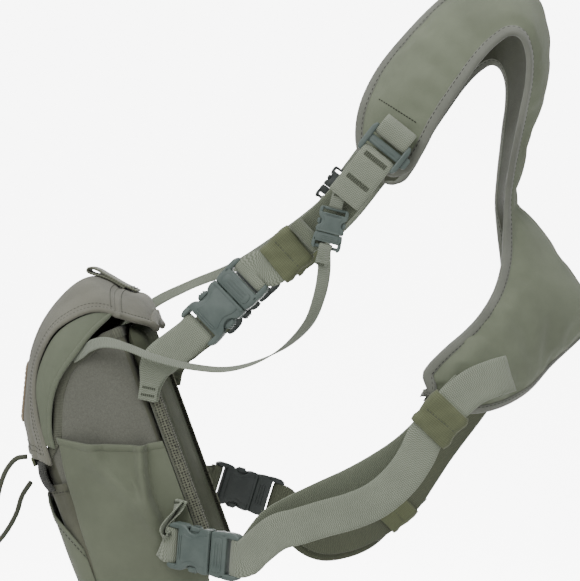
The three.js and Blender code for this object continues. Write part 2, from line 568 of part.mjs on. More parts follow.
const LEFT_WEBBING = [
  [vec(-30, -141.5, -269), leftKeeper.y], ...throughSleeve(leftKeeper, -1, -1),
  ...free([[-73, -140, -315], [-90, -136.5, -327], [-109, -134, -338], [-130, -132, -348], [-150, -130, -358],
    [-166, -128, -368]]),
  ...aroundBar(lowerLeft, MALE_BAR, 1, -1),
  ...free([[-163, -139, -371], [-148, -143, -366], [-130, -146, -360], [-110, -148, -354], [-93, -149, -346],
    [-77, -149.5, -332], [-66, -149.5, -316]]),
  ...throughSleeve(leftKeeper, 1, 1),
  ...free([[-26, -146.5, -267.5], [-12, -140.5, -262]]), [vec(-1.5, -133.5, -259.5), vec(-0.3, 0, 0.95)],
  [vec(0, -130.5, -259.5), vec(-0.3, 0, 0.95)], [vec(-3.5, -129, -260.5), vec(-0.3, 0, 0.95)],
  [vec(-13, -132, -264.5), vec(-0.4, 0, 0.9)],
];
const RIGHT_WEBBING = [
  [vec(-8, 125, -296), vec(0.82, 0, -0.57)],
  ...free([[-18, 125, -310], [-30, 126, -326], [-43, 126.5, -344], [-54, 126.5, -361]]),
  ...throughSleeve(rightKeeper, -1, -1),
  ...free([[-104, 126, -408], [-120, 125.5, -414], [-137, 122.5, -415], [-152, 118.5, -407]]),
  ...aroundBar(lowerRight, MALE_BAR, 1, -1),
  ...free([[-155, 126, -413], [-139, 130, -422], [-120, 132, -420], [-104, 132, -413]]),
  ...throughSleeve(rightKeeper, 1, 1), [vec(-60, 132, -374)],
];
addPart(harnessPack, 'left_side_webbing', ribbon(LEFT_WEBBING), 'webbing');
addPart(harnessPack, 'right_side_webbing', ribbon(RIGHT_WEBBING), 'webbing');

// ---- elastic cord on the front ------------------------------------------------------------------------------

const CORD_ROUTE = list([[-356, -45, -329], [-364, -45, -330.5], [-371, -45, -338], [-375.5, -45, -348],
  [-379, -44, -361], [-381.5, -44, -376], [-383.5, -43, -393], [-385.5, -42, -410], [-390, -40, -424],
  [-397.5, -35, -432], [-404, -27, -431], [-404, -20, -421], [-397, -17, -411], [-387.5, -16, -402],
  [-377.5, -16, -390], [-369.5, -17, -376], [-364.5, -20, -362], [-357, -24, -351]]);

function cordSolid() {
  const ring = new THREE.Shape();
  ring.absarc(0, 0, CORD_RADIUS, 0, 2 * Math.PI);
  const path = new THREE.CatmullRomCurve3(CORD_ROUTE, false, 'centripetal');
  const geometry = new THREE.ExtrudeGeometry(ring, { extrudePath: path, steps: 34, curveSegments: 4,
    bevelEnabled: false });
  return geometryOf(solid(geometry));
}
addPart(harnessPack, 'bungee_cord', cordSolid(), 'cord');
const anchorTab = plate(roundedRect(-3.5, 3.5, -20, 20, 2), 2);
addPart(pack, 'bungee_anchor', geometryOf(anchorTab).rotateY(Math.PI / 2).translate(-109.5, -34, 128), 'elastic');

export default harnessPack;
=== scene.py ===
import math

import bpy
import numpy as np
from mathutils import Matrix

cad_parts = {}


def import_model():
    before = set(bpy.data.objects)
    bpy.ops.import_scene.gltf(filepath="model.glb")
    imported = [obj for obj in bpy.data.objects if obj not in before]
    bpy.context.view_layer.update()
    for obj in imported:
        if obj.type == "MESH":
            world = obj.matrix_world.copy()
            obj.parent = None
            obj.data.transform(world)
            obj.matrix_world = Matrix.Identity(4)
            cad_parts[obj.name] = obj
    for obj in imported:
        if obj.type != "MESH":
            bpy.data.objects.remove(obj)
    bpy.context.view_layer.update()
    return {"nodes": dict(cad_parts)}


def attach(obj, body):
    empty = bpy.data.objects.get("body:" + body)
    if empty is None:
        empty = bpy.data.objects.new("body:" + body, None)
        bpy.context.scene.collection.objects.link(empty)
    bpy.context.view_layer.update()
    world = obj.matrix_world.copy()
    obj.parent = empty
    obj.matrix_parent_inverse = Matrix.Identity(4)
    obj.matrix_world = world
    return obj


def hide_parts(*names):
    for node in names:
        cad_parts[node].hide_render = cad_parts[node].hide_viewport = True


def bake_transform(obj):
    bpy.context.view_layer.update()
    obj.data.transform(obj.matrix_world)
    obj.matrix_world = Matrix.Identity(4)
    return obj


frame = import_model()

# Binocular harness pack. Lengths below are millimetres in the row frame, and become metres in each mesh.
# "Pack-local" points are (u, y, w): u from the front of the pack to its back plane, w up that plane.
MM = 0.001
TILT = math.radians(20)
FOOT = np.array([-203.0, 0.0, -415.0])
SIDES = (("left", -1), ("right", 1))

# where the far side of the soft back hangs forward of its CAD shape, in mm
FAR_HANG = 4.5

# ---- camera, at the photograph's viewing angle ---------------------------------------------------


def make_camera():
    azimuth, elevation, distance = math.radians(2.5), math.radians(1.5), 1500
    target = np.array([-160.0, 0.0, -205.0])
    back = np.array([math.sin(azimuth) * math.cos(elevation), -math.cos(azimuth) * math.cos(elevation),
                     math.sin(elevation)])
    camera = bpy.data.objects.new("camera", bpy.data.cameras.new("camera"))
    bpy.context.scene.collection.objects.link(camera)
    camera.data.sensor_width = 36
    camera.data.lens = 120.8
    camera.data.clip_end = 30
    camera.location = [float(v) * MM for v in target + back * distance]
    camera.rotation_euler = (math.pi / 2 - elevation, 0, azimuth)
    bpy.context.scene.camera = camera


make_camera()

# ---- numbers and lines ---------------------------------------------------------------------------


def unit(v):
    v = np.asarray(v, float)
    return v / np.maximum(np.linalg.norm(v, axis=-1, keepdims=True), 1e-9)


def metres(point):
    return [float(v) * MM for v in point]


def world(points):
    """Pack-local points to the row frame."""
    p = np.asarray(points, float)
    c, s = math.cos(TILT), math.sin(TILT)
    return np.stack([FOOT[0] + c * p[..., 0] - s * p[..., 2], p[..., 1],
                     FOOT[2] + s * p[..., 0] + c * p[..., 2]], -1)


def dense_line(points, per=24):
    """A centripetal Catmull-Rom line through the points, and each sample's place among them."""
    p = np.asarray(points, float)
    e = np.vstack([2 * p[0] - p[1], p, 2 * p[-1] - p[-2]])
    out, place = [], []
    for i in range(1, len(e) - 2):
        q = e[i - 1:i + 3]
        k = np.concatenate([[0], np.cumsum(np.maximum(np.linalg.norm(np.diff(q, axis=0), axis=1),
                                                      1e-6) ** 0.5)])
        t = np.linspace(k[1], k[2], per, endpoint=False)[:, None]
        a = [((k[j + 1] - t) * q[j] + (t - k[j]) * q[j + 1]) / (k[j + 1] - k[j]) for j in range(3)]
        b = [((k[j + 2] - t) * a[j] + (t - k[j]) * a[j + 1]) / (k[j + 2] - k[j]) for j in range(2)]
        out.append((k[2] - t) / (k[2] - k[1]) * b[0] + (t - k[1]) / (k[2] - k[1]) * b[1])
        place.append(i - 1 + np.arange(per) / per)
    return np.vstack(out + [p[-1:]]), np.concatenate(place + [[len(p) - 1]])


def lengths(line):
    """Distance from the line's start to each of its points."""
    return np.concatenate([[0], np.cumsum(np.linalg.norm(np.diff(line, axis=0), axis=1))])


def sample(line, at):
    """The places on a line at these distances from its start."""
    s = lengths(line)
    return np.stack([np.interp(at, s, line[:, k]) for k in range(line.shape[1])], -1)


def smooth_line(points, count):
    """A smooth line through the points, in equal steps."""
    line, _ = dense_line(points)
    return sample(line, np.linspace(0, lengths(line)[-1], count))


def ease(x):
    """0 below 0, 1 above 1, and a smooth rise between."""
    x = np.clip(x, 0, 1)
    return x * x * (3 - 2 * x)


def ripple(*coordinates, seed=0, octaves=4, base=1.0):
    """Smooth made-up unevenness, about -1 to 1, from a few turned sine waves."""
    r = np.random.default_rng(seed)
    total, weight = 0.0, 0.0
    for octave in range(octaves):
        for _ in range(3):
            turn = r.normal(size=len(coordinates))
            turn *= base * 2 ** octave / np.linalg.norm(turn)
            phase = sum(t * c for t, c in zip(turn, coordinates)) + r.uniform(0, 6.28)
            total = total + np.sin(phase) / 1.8 ** octave
            weight += 0.6 / 1.8 ** octave
    return total / weight


def grid_normals(grid, middle):
    """Unit normals of a grid of points, turned away from the middle."""
    n = unit(np.cross(np.gradient(grid, axis=0), np.gradient(grid, axis=1)))
    turn = np.sum(n * (grid - np.asarray(middle, float)), -1)
    if turn.sum() < 0:
        n = -n
    return n


# ---- meshes --------------------------------------------------------------------------------------


def build(name, verts, faces, mats, face_mats=None, uv=None, smooth=True):
    """An object from points in millimetres, with its UV map in metres."""
    mesh = bpy.data.meshes.new(name)
    mesh.from_pydata((np.asarray(verts, float) * MM).tolist(), [], [list(map(int, f)) for f in faces])
    for m in mats:
        mesh.materials.append(m)
    if face_mats is not None:
        mesh.polygons.foreach_set("material_index", np.asarray(face_mats, dtype=np.int32))
    layer = mesh.uv_layers.new(name="UVMap")
    uv = np.asarray(verts, float)[:, :2] if uv is None else np.asarray(uv, float)
    index = np.zeros(len(mesh.loops), dtype=np.int32)
    mesh.loops.foreach_get("vertex_index", index)
    layer.data.foreach_set("uv", (uv[index] * MM).astype(np.float32).ravel())
    mesh.polygons.foreach_set("use_smooth", np.full(len(mesh.polygons), smooth, dtype=bool))
    mesh.validate()
    obj = bpy.data.objects.new(name, mesh)
    bpy.context.scene.collection.objects.link(obj)
    return obj


def place_piece(obj, body, slot, *nodes):
    """Hangs the piece on its body and hides the CAD nodes it stands for; slot is not used."""
    if body:
        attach(obj, body)
    if nodes:
        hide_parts(*nodes)
    return obj


def grid_uv(grid, u=None, v=None):
    """Lengths along the rows and across the columns of a grid, for its texture."""
    rows, cols = grid.shape[:2]
    if u is None:
        u = lengths(grid[:, cols // 2])
    if v is None:
        v = lengths(grid[rows // 2])
        v = v - v[-1] / 2
    return np.stack(np.meshgrid(u, v, indexing="ij"), -1)


def sheet_parts(grid, normals, above, below, uv, rim=0.8):
    """Vertices, faces and face kinds (0 outside, 1 inside, 2 rim) of a closed sheet with rounded edges."""
    rows, cols = grid.shape[:2]
    above = np.broadcast_to(above, (rows, cols))[..., None]
    below = np.broadcast_to(below, (rows, cols))[..., None]
    top, bottom = grid + normals * above, grid - normals * below
    border = ([(0, c) for c in range(cols)] + [(r, cols - 1) for r in range(1, rows)]
              + [(rows - 1, c) for c in range(cols - 2, -1, -1)] + [(r, 0) for r in range(rows - 2, 0, -1)])
    edge = []
    for r, c in border:
        out = np.zeros(3)
        if r in (0, rows - 1):
            out += unit(grid[r, c] - grid[1 if r == 0 else rows - 2, c])
        if c in (0, cols - 1):
            out += unit(grid[r, c] - grid[r, 1 if c == 0 else cols - 2])
        half = (above[r, c, 0] + below[r, c, 0]) / 2
        edge.append((top[r, c] + bottom[r, c]) / 2 + unit(out) * half * rim)
    verts = np.vstack([top.reshape(-1, 3), bottom.reshape(-1, 3), np.array(edge)])
    uvs = np.vstack([uv.reshape(-1, 2), uv.reshape(-1, 2), np.array([uv[r, c] for r, c in border])])
    n = rows * cols
    r, c = np.meshgrid(np.arange(rows - 1), np.arange(cols - 1), indexing="ij")
    a = (r * cols + c).ravel()
    quads = np.stack([a, a + cols, a + cols + 1, a + 1], -1)
    facing = np.sum(np.cross(grid[1, 0] - grid[0, 0], grid[0, 1] - grid[0, 0]) * normals[0, 0]) \
        if rows < 3 else np.sum(np.cross(np.diff(grid, axis=0)[:, :-1], np.diff(grid, axis=1)[:-1])
                                * normals[:-1, :-1])
    if facing < 0:
        quads = quads[:, ::-1]
    ring = []
    m = len(border)
    for i, (r0, c0) in enumerate(border):
        r1, c1 = border[(i + 1) % m]
        j = (i + 1) % m
        t0, t1, e0, e1 = r0 * cols + c0, r1 * cols + c1, 2 * n + i, 2 * n + j
        pair = [[t0, e0, e1, t1], [e0, t0 + n, t1 + n, e1]]
        ring += [q if facing < 0 else q[::-1] for q in pair]
    faces = np.vstack([quads, quads[:, ::-1] + n, np.array(ring)])
    kinds = np.concatenate([np.zeros(len(quads)), np.ones(len(quads)), np.full(len(ring), 2)]).astype(int)
    return verts, faces, kinds, uvs


def sheet(name, grid, normals, above, below, mats, uv=None, rim=0.8):
    uv = grid_uv(grid) if uv is None else uv
    verts, faces, kinds, uvs = sheet_parts(grid, normals, above, below, uv, rim)
    if len(mats) == 1:
        kinds = np.zeros(len(kinds), int)
    elif len(mats) == 2:
        kinds = np.where(kinds == 1, 1, 0)
    return build(name, verts, faces, mats, kinds, uvs)


def tube_along(name, centre, axis_a, axis_b, section, mats):
    """A closed section, as (a, b) pairs, swept along a line."""
    section = np.asarray(section, float)
    rows, cols = len(centre), len(section)
    verts = (centre[:, None] + axis_a[:, None] * section[None, :, :1] + axis_b[:, None] * section[None, :, 1:])
    along = lengths(centre)
    round_ = lengths(np.vstack([section, section[:1]]))[:-1]
    uv = np.stack(np.meshgrid(along, round_, indexing="ij"), -1).reshape(-1, 2)
    faces = []
    for r in range(rows - 1):
        for c in range(cols):
            a, b = r * cols, (r + 1) * cols
            faces.append([a + c, b + c, b + (c + 1) % cols, a + (c + 1) % cols])
    faces += [list(range(cols)), list(range((rows - 1) * cols, rows * cols))[::-1]]
    turned = np.dot(np.cross(axis_a[0], axis_b[0]), centre[1] - centre[0])
    area = np.sum(section[:, 0] * np.roll(section[:, 1], -1) - np.roll(section[:, 0], -1) * section[:, 1])
    if turned * area > 0:
        faces = [f[::-1] for f in faces]
    return build(name, verts.reshape(-1, 3), faces, mats, None, uv)


def stitches(name, runs, mat, body, slot, dash=2.3, gap=1.3, radius=0.32, lift=0.1):
    """A row of thread stitches along each run, which is a line and its normals."""
    rings = np.array([[-0.5, 0.3], [-0.34, 1.0], [0.34, 1.0], [0.5, 0.3]])
    angles = np.linspace(0, 2 * math.pi, 6, endpoint=False)
    verts, faces = [], []
    one = [[k * 6 + i, k * 6 + (i + 1) % 6, (k + 1) * 6 + (i + 1) % 6, (k + 1) * 6 + i]
           for k in range(3) for i in range(6)]
    for line, normals in runs:
        s = lengths(line)
        if s[-1] < dash:
            continue
        middle = np.arange(dash * 0.6, s[-1] - dash * 0.4, dash + gap)
        a, b = sample(line, middle - dash / 2), sample(line, middle + dash / 2)
        up = unit(np.stack([np.interp(middle, s, normals[:, k]) for k in range(3)], -1))
        tangent = unit(b - a)
        side = unit(np.cross(up, tangent))
        centre = (a + b) / 2 + up * lift
        for p, t, u, w in zip(centre, tangent, up, side):
            start = len(verts) * 24
            ring = [p + t * along * dash + (u * math.sin(x) * 0.8 + w * math.cos(x)) * radius * r
                    for along, r in rings for x in angles]
            verts.append(np.array(ring))
            faces += [[start + k for k in f] for f in one]
            faces += [[start + k for k in range(5, -1, -1)], [start + 18 + k for k in range(6)]]
    verts = np.vstack(verts)
    obj = build(name, verts, faces, [mat])
    return place_piece(obj, body, slot)


def offset_path(grid, normals, side, distance, rows=slice(None), lift=0.0):
    """The line on a grid's surface at a distance in from one of its column edges (side -1 first, 1 last)."""
    line, ups = [], []
    for row, up in zip(grid[rows], normals[rows]):
        if side > 0:
            row, up = row[::-1], up[::-1]
        s = lengths(row)
        p = np.array([np.interp(distance, s, row[:, k]) for k in range(3)])
        n = unit(np.array([np.interp(distance, s, up[:, k]) for k in range(3)]))
        line.append(p + n * lift)
        ups.append(n)
    return np.array(line), np.array(ups)


# ---- materials -----------------------------------------------------------------------------------


def srgb(r, g, b):
    return [((c / 255 + 0.055) / 1.055) ** 2.4 if c > 10 else c / 255 / 12.92 for c in (r, g, b)] + [1.0]


class Shader:
    """A material's nodes: each call adds one, with links where an input is another node's output."""

    def __init__(self, name):
        self.material = bpy.data.materials.new(name)
        self.material.use_nodes = True
        self.tree = self.material.node_tree
        self.tree.nodes.clear()
        self.coords = self.add("ShaderNodeTexCoord")

    def add(self, kind, inputs=None, **settings):
        node = self.tree.nodes.new(kind)
        for key, value in settings.items():
            setattr(node, key, value)
        for key, value in (inputs or {}).items():
            if isinstance(value, bpy.types.NodeSocket):
                self.tree.links.new(value, node.inputs[key])
            else:
                node.inputs[key].default_value = value
        return node

    def math(self, operation, a, b=0.0):
        return self.add("ShaderNodeMath", {0: a, 1: b}, operation=operation).outputs[0]

    def noise(self, scale, detail=3.0, rough=0.6, space="Object"):
        return self.add("ShaderNodeTexNoise", {"Vector": self.coords.outputs[space], "Scale": scale,
                                               "Detail": detail, "Roughness": rough}).outputs["Fac"]

    def spread(self, value, low, high, to_low=0.0, to_high=1.0):
        return self.add("ShaderNodeMapRange", {"Value": value, "From Min": low, "From Max": high,
                                               "To Min": to_low, "To Max": to_high}).outputs[0]

    def mix(self, factor, a, b, blend="MIX"):
        node = self.tree.nodes.new("ShaderNodeMix")
        node.data_type = "RGBA"
        node.blend_type = blend
        for key, value in ((0, factor), (6, a), (7, b)):
            if isinstance(value, bpy.types.NodeSocket):
                self.tree.links.new(value, node.inputs[key])
            else:
                node.inputs[key].default_value = value
        return node.outputs[2]

    def waves(self, pitch_u, pitch_v, skew=0.0):
        """Sine waves across the piece's own length and width, whose pitches are in metres."""
        uv = self.add("ShaderNodeSeparateXYZ", {0: self.coords.outputs["UV"]})
        u, v = uv.outputs[0], uv.outputs[1]
        if skew:
            u = self.math("ADD", u, self.math("MULTIPLY", v, skew))
        return (self.math("SINE", self.math("MULTIPLY", u, 2 * math.pi / pitch_u)),
                self.math("SINE", self.math("MULTIPLY", v, 2 * math.pi / pitch_v)))

    def bump(self, height, distance, strength=1.0, under=None):
        inputs = {"Height": height, "Distance": distance, "Strength": strength}
        if under is not None:
            inputs["Normal"] = under
        return self.add("ShaderNodeBump", inputs).outputs[0]

    def finish(self, colour, rough, normal, sheen=0.0, specular=0.35, metallic=0.0):
        inputs = {"Base Color": colour, "Roughness": rough, "Normal": normal, "Sheen Weight": sheen,
                  "Sheen Roughness": 0.5, "Specular IOR Level": specular, "Metallic": metallic}
        shader = self.add("ShaderNodeBsdfPrincipled", inputs)
        output = self.tree.nodes.new("ShaderNodeOutputMaterial")
        self.tree.links.new(shader.outputs[0], output.inputs[0])
        return self.material


def varied(s, colour, amount=0.14, scale=22.0):
    """The colour with slow, soft unevenness over the piece."""
    slow = s.spread(s.noise(scale, 4.0), 0.3, 0.7)
    dark = [c * (1 - amount) for c in colour[:3]] + [1.0] if not isinstance(colour,
                                                                            bpy.types.NodeSocket) else None
    if dark is None:
        return s.mix(s.math("MULTIPLY", slow, amount), colour, srgb(60, 62, 55))
    return s.mix(slow, dark, [min(1, c * (1 + amount)) for c in colour[:3]] + [1.0])


def woven(name, colour, warp, pitch=(0.0011, 0.0011), depth=0.0002, sheen=0.25, rough=0.86, amount=0.12,
          grain=0.35, skew=0.0, specular=0.35):
    """Woven cloth: crossing yarns of two tones, slow unevenness and a little fuzz."""
    s = Shader(name)
    a, b = s.waves(*pitch, skew)
    yarn = s.spread(s.math("MULTIPLY", a, b), -1, 1)
    fuzz = s.noise(2600, 2.0, 0.7)
    tone = s.math("ADD", s.math("MULTIPLY", yarn, 1 - grain), s.math("MULTIPLY", fuzz, grain))
    cloth = s.mix(tone, warp, colour)
    shade = s.mix(s.spread(s.noise(22, 4.0), 0.3, 0.72), srgb(205, 205, 200), srgb(255, 255, 252))
    cloth = s.mix(min(1.0, amount * 6), cloth, shade, "MULTIPLY")
    normal = s.bump(s.noise(700, 3.0), 0.00012, 0.6)
    normal = s.bump(yarn, depth, 0.8, normal)
    roughness = s.spread(fuzz, 0.2, 0.8, rough - 0.08, min(1.0, rough + 0.08))
    return s.finish(cloth, roughness, normal, sheen, specular)


def heather(name, light, dark):
    """Melange foam-backed cloth: two tones of short fibres."""
    s = Shader(name)
    fine = s.spread(s.noise(2400, 4.0, 0.75), 0.34, 0.66)
    coarse = s.spread(s.noise(700, 4.0, 0.7), 0.35, 0.65)
    cloth = s.mix(s.math("ADD", s.math("MULTIPLY", fine, 0.7), s.math("MULTIPLY", coarse, 0.3)), dark, light)
    normal = s.bump(s.noise(1500, 4.0, 0.75), 0.0002, 0.8, s.bump(s.noise(60, 3.0), 0.0012, 0.4))
    return s.finish(varied(s, cloth, 0.12), s.spread(fine, 0, 1, 0.85, 0.97), normal, 0.2, 0.25)


def strap_web(name, light, dark, pitch=(0.0013, 0.0015), sheen=0.2):
    """Strap webbing: rows of slanting ribs, with darker gaps between the yarns."""
    s = Shader(name)
    uv = s.add("ShaderNodeSeparateXYZ", {0: s.coords.outputs["UV"]})
    u, v = uv.outputs[0], uv.outputs[1]
    zigzag = s.math("PINGPONG", s.math("MULTIPLY", v, 1 / pitch[1]), 1.0)
    rib = s.math("SINE", s.math("MULTIPLY", s.math("ADD", s.math("MULTIPLY", u, 1 / pitch[0]),
                                                   s.math("MULTIPLY", zigzag, 0.5)), 2 * math.pi))
    warp = s.math("SINE", s.math("MULTIPLY", v, 2 * math.pi / (pitch[1] * 0.5)))
    weave = s.spread(s.math("ADD", s.math("MULTIPLY", rib, 0.65), s.math("MULTIPLY", warp, 0.35)), -1, 1)
    fuzz = s.noise(2200, 2.0, 0.7)
    tone = s.math("ADD", s.math("MULTIPLY", weave, 0.75), s.math("MULTIPLY", fuzz, 0.25))
    cloth = varied(s, s.mix(s.spread(tone, 0.1, 0.85), dark, light), 0.2, 30)
    normal = s.bump(fuzz, 0.0001, 0.5)
    normal = s.bump(weave, 0.0004, 0.9, normal)
    return s.finish(cloth, s.spread(fuzz, 0.2, 0.8, 0.7, 0.86), normal, sheen, 0.4)


def ribbed(name, light, dark, pitch_u, pitch_v, rough=0.8):
    """Elastic or grosgrain: fine ribs across, with a faint second set along."""
    s = Shader(name)
    a, b = s.waves(pitch_u, pitch_v)
    rib = s.spread(s.math("ADD", s.math("MULTIPLY", a, 0.8), s.math("MULTIPLY", b, 0.2)), -1, 1)
    fuzz = s.noise(1800, 2.0, 0.7)
    cloth = varied(s, s.mix(s.math("ADD", s.math("MULTIPLY", rib, 0.6), s.math("MULTIPLY", fuzz, 0.4)), dark,
                            light),
                   0.2, 40)
    return s.finish(cloth, s.spread(fuzz, 0.2, 0.8, rough - 0.08, rough + 0.08), s.bump(rib, 0.00025, 0.8), 0.2,
                    0.35)


def moulded(name, colour, pale):
    """Moulded nylon: fine spark-eroded grain, faint flow marks, rubbed a little paler on its high edges."""
    s = Shader(name)
    grain = s.noise(3200, 2.0, 0.7)
    flow = s.spread(s.noise(70, 5.0, 0.65), 0.35, 0.7)
    worn = s.spread(s.add("ShaderNodeNewGeometry").outputs["Pointiness"], 0.52, 0.62)
    body = s.mix(s.math("MULTIPLY", flow, 0.35), colour, pale)
    body = s.mix(s.math("MULTIPLY", worn, 0.5), body, pale)
    normal = s.bump(grain, 0.00006, 0.6, s.bump(s.noise(150, 3.0), 0.0002, 0.3))
    return s.finish(body, s.spread(flow, 0, 1, 0.42, 0.56), normal, 0.0, 0.5)


def holed(name, light, dark, pitch=0.0028):
    """Spacer mesh: rows of small dark holes in a knitted face."""
    s = Shader(name)
    cells = s.add("ShaderNodeTexVoronoi", {"Vector": s.coords.outputs["UV"], "Scale": 1 / pitch,
                                           "Randomness": 0.25})
    hole = s.spread(cells.outputs["Distance"], 0.2, 0.42)
    cloth = s.mix(hole, dark, light)
    normal = s.bump(s.noise(2000, 2.0), 0.0001, 0.5)
    normal = s.bump(hole, 0.0008, 1.0, normal)
    return s.finish(varied(s, cloth, 0.15), s.spread(hole, 0, 1, 0.95, 0.8), normal, 0.15, 0.25)


def threads(name, colour):
    s = Shader(name)
    twist = s.noise(3000, 1.0)
    cloth = s.mix(twist, [c * 0.75 for c in colour[:3]] + [1.0], colour)
    return s.finish(cloth, s.spread(twist, 0, 1, 0.6, 0.75), s.bump(twist, 0.0001, 0.6), 0.1, 0.4)


def metal(name):
    s = Shader(name)
    brushed = s.noise(900, 3.0)
    return s.finish(s.mix(brushed, srgb(150, 152, 152), srgb(190, 192, 192)),
                    s.spread(brushed, 0, 1, 0.25, 0.4),
                    s.bump(brushed, 0.00003, 0.4), 0.0, 0.5, 1.0)


M = {
    "pad": woven("pad_cloth", srgb(127, 134, 115), srgb(107, 114, 95), (0.0009, 0.0009), 0.00012, 0.15, 0.72,
                 0.1),
    # inner face of the shoulder pads and spine tape: the pad cloth darkened to its look in shadow, painted
    # shade
    "pad_inner_shaded": woven("shaded_pad_inner_cloth", srgb(84, 87, 74), srgb(64, 67, 55), (0.0012, 0.0012), 0.0002, 0.1,
                       0.9),
    # the back panel: stretch cloth darkened to its look in shadow, painted shade; its sheen and specular are
    # turned down
    "shaded_back_cloth": woven("shaded_back_cloth", srgb(92, 96, 82), srgb(72, 76, 63), (0.0012, 0.0012), 0.0002, 0.0, 0.95,
                        0.12,
                        specular=0.05),
    "smooth": woven("stretch_cloth", srgb(115, 121, 103), srgb(99, 105, 87), (0.0008, 0.0008), 0.0001, 0.2,
                    0.66, 0.1),
    "gusset": woven("gusset_cloth", srgb(118, 125, 107), srgb(102, 109, 91), (0.0008, 0.0008), 0.0001, 0.2,
                    0.62, 0.1),
    "woven": woven("lid_cloth", srgb(140, 139, 128), srgb(110, 110, 99), (0.0012, 0.001), 0.00022, 0.15, 0.82,
                   0.14),
    "pocket": woven("pocket_cloth", srgb(112, 113, 98), srgb(84, 86, 72), (0.0012, 0.001), 0.0002, 0.15, 0.85,
                    0.14),
    "lining": woven("lining_cloth", srgb(84, 87, 74), srgb(62, 65, 53), (0.001, 0.001), 0.00015, 0.1, 0.8),
    "heather": heather("heather_cloth", srgb(120, 121, 111), srgb(88, 89, 81)),
    "webbing": strap_web("sage_webbing", srgb(163, 170, 152), srgb(94, 101, 84)),
    # a darker copy of the sage webbing for the far side's straps: painted shade
    "webbing_far_shade": strap_web("shaded_webbing", srgb(104, 109, 88), srgb(62, 66, 50)),
    # the webbing's inner face, a darker copy of the sage webbing: painted shade
    "webbing_inner_shade": strap_web("shaded_inner_webbing", srgb(130, 137, 118), srgb(78, 84, 66)),
    "tether": strap_web("tether_webbing", srgb(156, 163, 148), srgb(92, 98, 82), (0.0013, 0.0016)),
    "loop": ribbed("loop_webbing", srgb(138, 140, 124), srgb(76, 79, 65), 0.0022, 0.012),
    "elastic": ribbed("olive_elastic", srgb(112, 118, 88), srgb(80, 85, 58), 0.0013, 0.0022),
    "binding": ribbed("grosgrain_binding", srgb(132, 138, 124), srgb(98, 104, 90), 0.0011, 0.004),
    "edging": woven("edging_cloth", srgb(136, 138, 130), srgb(104, 107, 98), (0.0008, 0.0008), 0.0001, 0.3,
                    0.85, 0.12),
    "binding_dark": ribbed("seam_binding", srgb(108, 110, 96), srgb(74, 76, 64), 0.0012, 0.004),
    "mesh": holed("spacer_mesh", srgb(112, 114, 98), srgb(42, 43, 37), 0.0019),
    "mesh_dark": holed("dark_mesh", srgb(62, 63, 58), srgb(20, 20, 19), 0.0016),
    "plastic": moulded("slate_plastic", srgb(77, 89, 85), srgb(113, 124, 118)),
    # a darker copy of the slate plastic for the far side's buckles and ladder lock: painted shade
    "plastic_far_shade": moulded("shaded_slate_plastic", srgb(44, 50, 48), srgb(76, 83, 80)),
    "cord": ribbed("braided_cord", srgb(98, 102, 86), srgb(58, 61, 48), 0.0016, 0.0016),
    "thread": threads("thread", srgb(78, 83, 68)),
    "thread_dark": threads("dark_thread", srgb(44, 46, 37)),
    "thread_light": threads("light_thread", srgb(138, 141, 126)),
    "patch": woven("patch_cloth", srgb(176, 160, 138), srgb(148, 132, 110), (0.0011, 0.0011), 0.0001, 0.1, 0.7),
    "magnet": metal("plated_strip"),
}

# ---- elastic cord on the front -------------------------------------------------------------------

CORD = [(-356, -45, -329), (-364, -45, -330.5), (-371, -45, -338), (-375.5, -45, -348), (-379, -44, -361),
        (-381.5, -44, -376), (-383.5, -43, -393), (-385.5, -42, -410), (-390, -40, -424), (-397.5, -35, -432),
        (-404, -27, -431), (-404, -20, -421), (-397, -17, -411), (-387.5, -16, -402), (-377.5, -16, -390),
        (-369.5, -17, -376), (-364.5, -20, -362), (-357, -24, -351)]
CORD_RADIUS = 1.9
BRAID_PITCH = 9.0


def make_cord():
    line = smooth_line(CORD, 120)
    tangent = unit(np.gradient(line, axis=0))
    side = unit(np.cross(tangent, [0.3, 0.5, 0.81]))
    for i in range(1, len(side)):
        side[i] = unit(side[i - 1] - tangent[i] * np.dot(side[i - 1], tangent[i]))
    up = np.cross(tangent, side)
    around = np.linspace(0, 2 * math.pi, 17)[:-1]
    ring = [(CORD_RADIUS * math.cos(a), CORD_RADIUS * math.sin(a)) for a in around]
    cord = tube_along("bungee", line, side, up, ring, [M["cord"]])
    # the braid: eight strands that wind round the core
    turns = np.linspace(0, 2 * math.pi, len(line)) * lengths(line)[-1] / 2 / math.pi / BRAID_PITCH
    mesh = cord.data
    co = np.array([v.co for v in mesh.vertices]).reshape(len(line), 16, 3)
    for i in range(len(line)):
        for k in range(16):
            strand = 0.12 * abs(math.sin(4 * (around[k] + turns[i] * 2 * math.pi)))
            co[i, k] = line[i] * MM + (co[i, k] - line[i] * MM) * (0.95 + strand)
    mesh.vertices.foreach_set("co", co.reshape(-1))
    place_piece(cord, "harness", "cord", "bungee_cord")


make_cord()

# ---- pack body -----------------------------------------------------------------------------------

FRONT, REAR, HALF = -100.0, -10.8, 78.0
FRONT_CORNER, REAR_CORNER = 18.0, 5.0
# top of the side walls, as (u, w)
WALL_ARCH = [(-100, 126), (-83.5, 142), (-72, 171), (-60, 186), (-51, 191), (-24, 199.5), (-10, 200)]


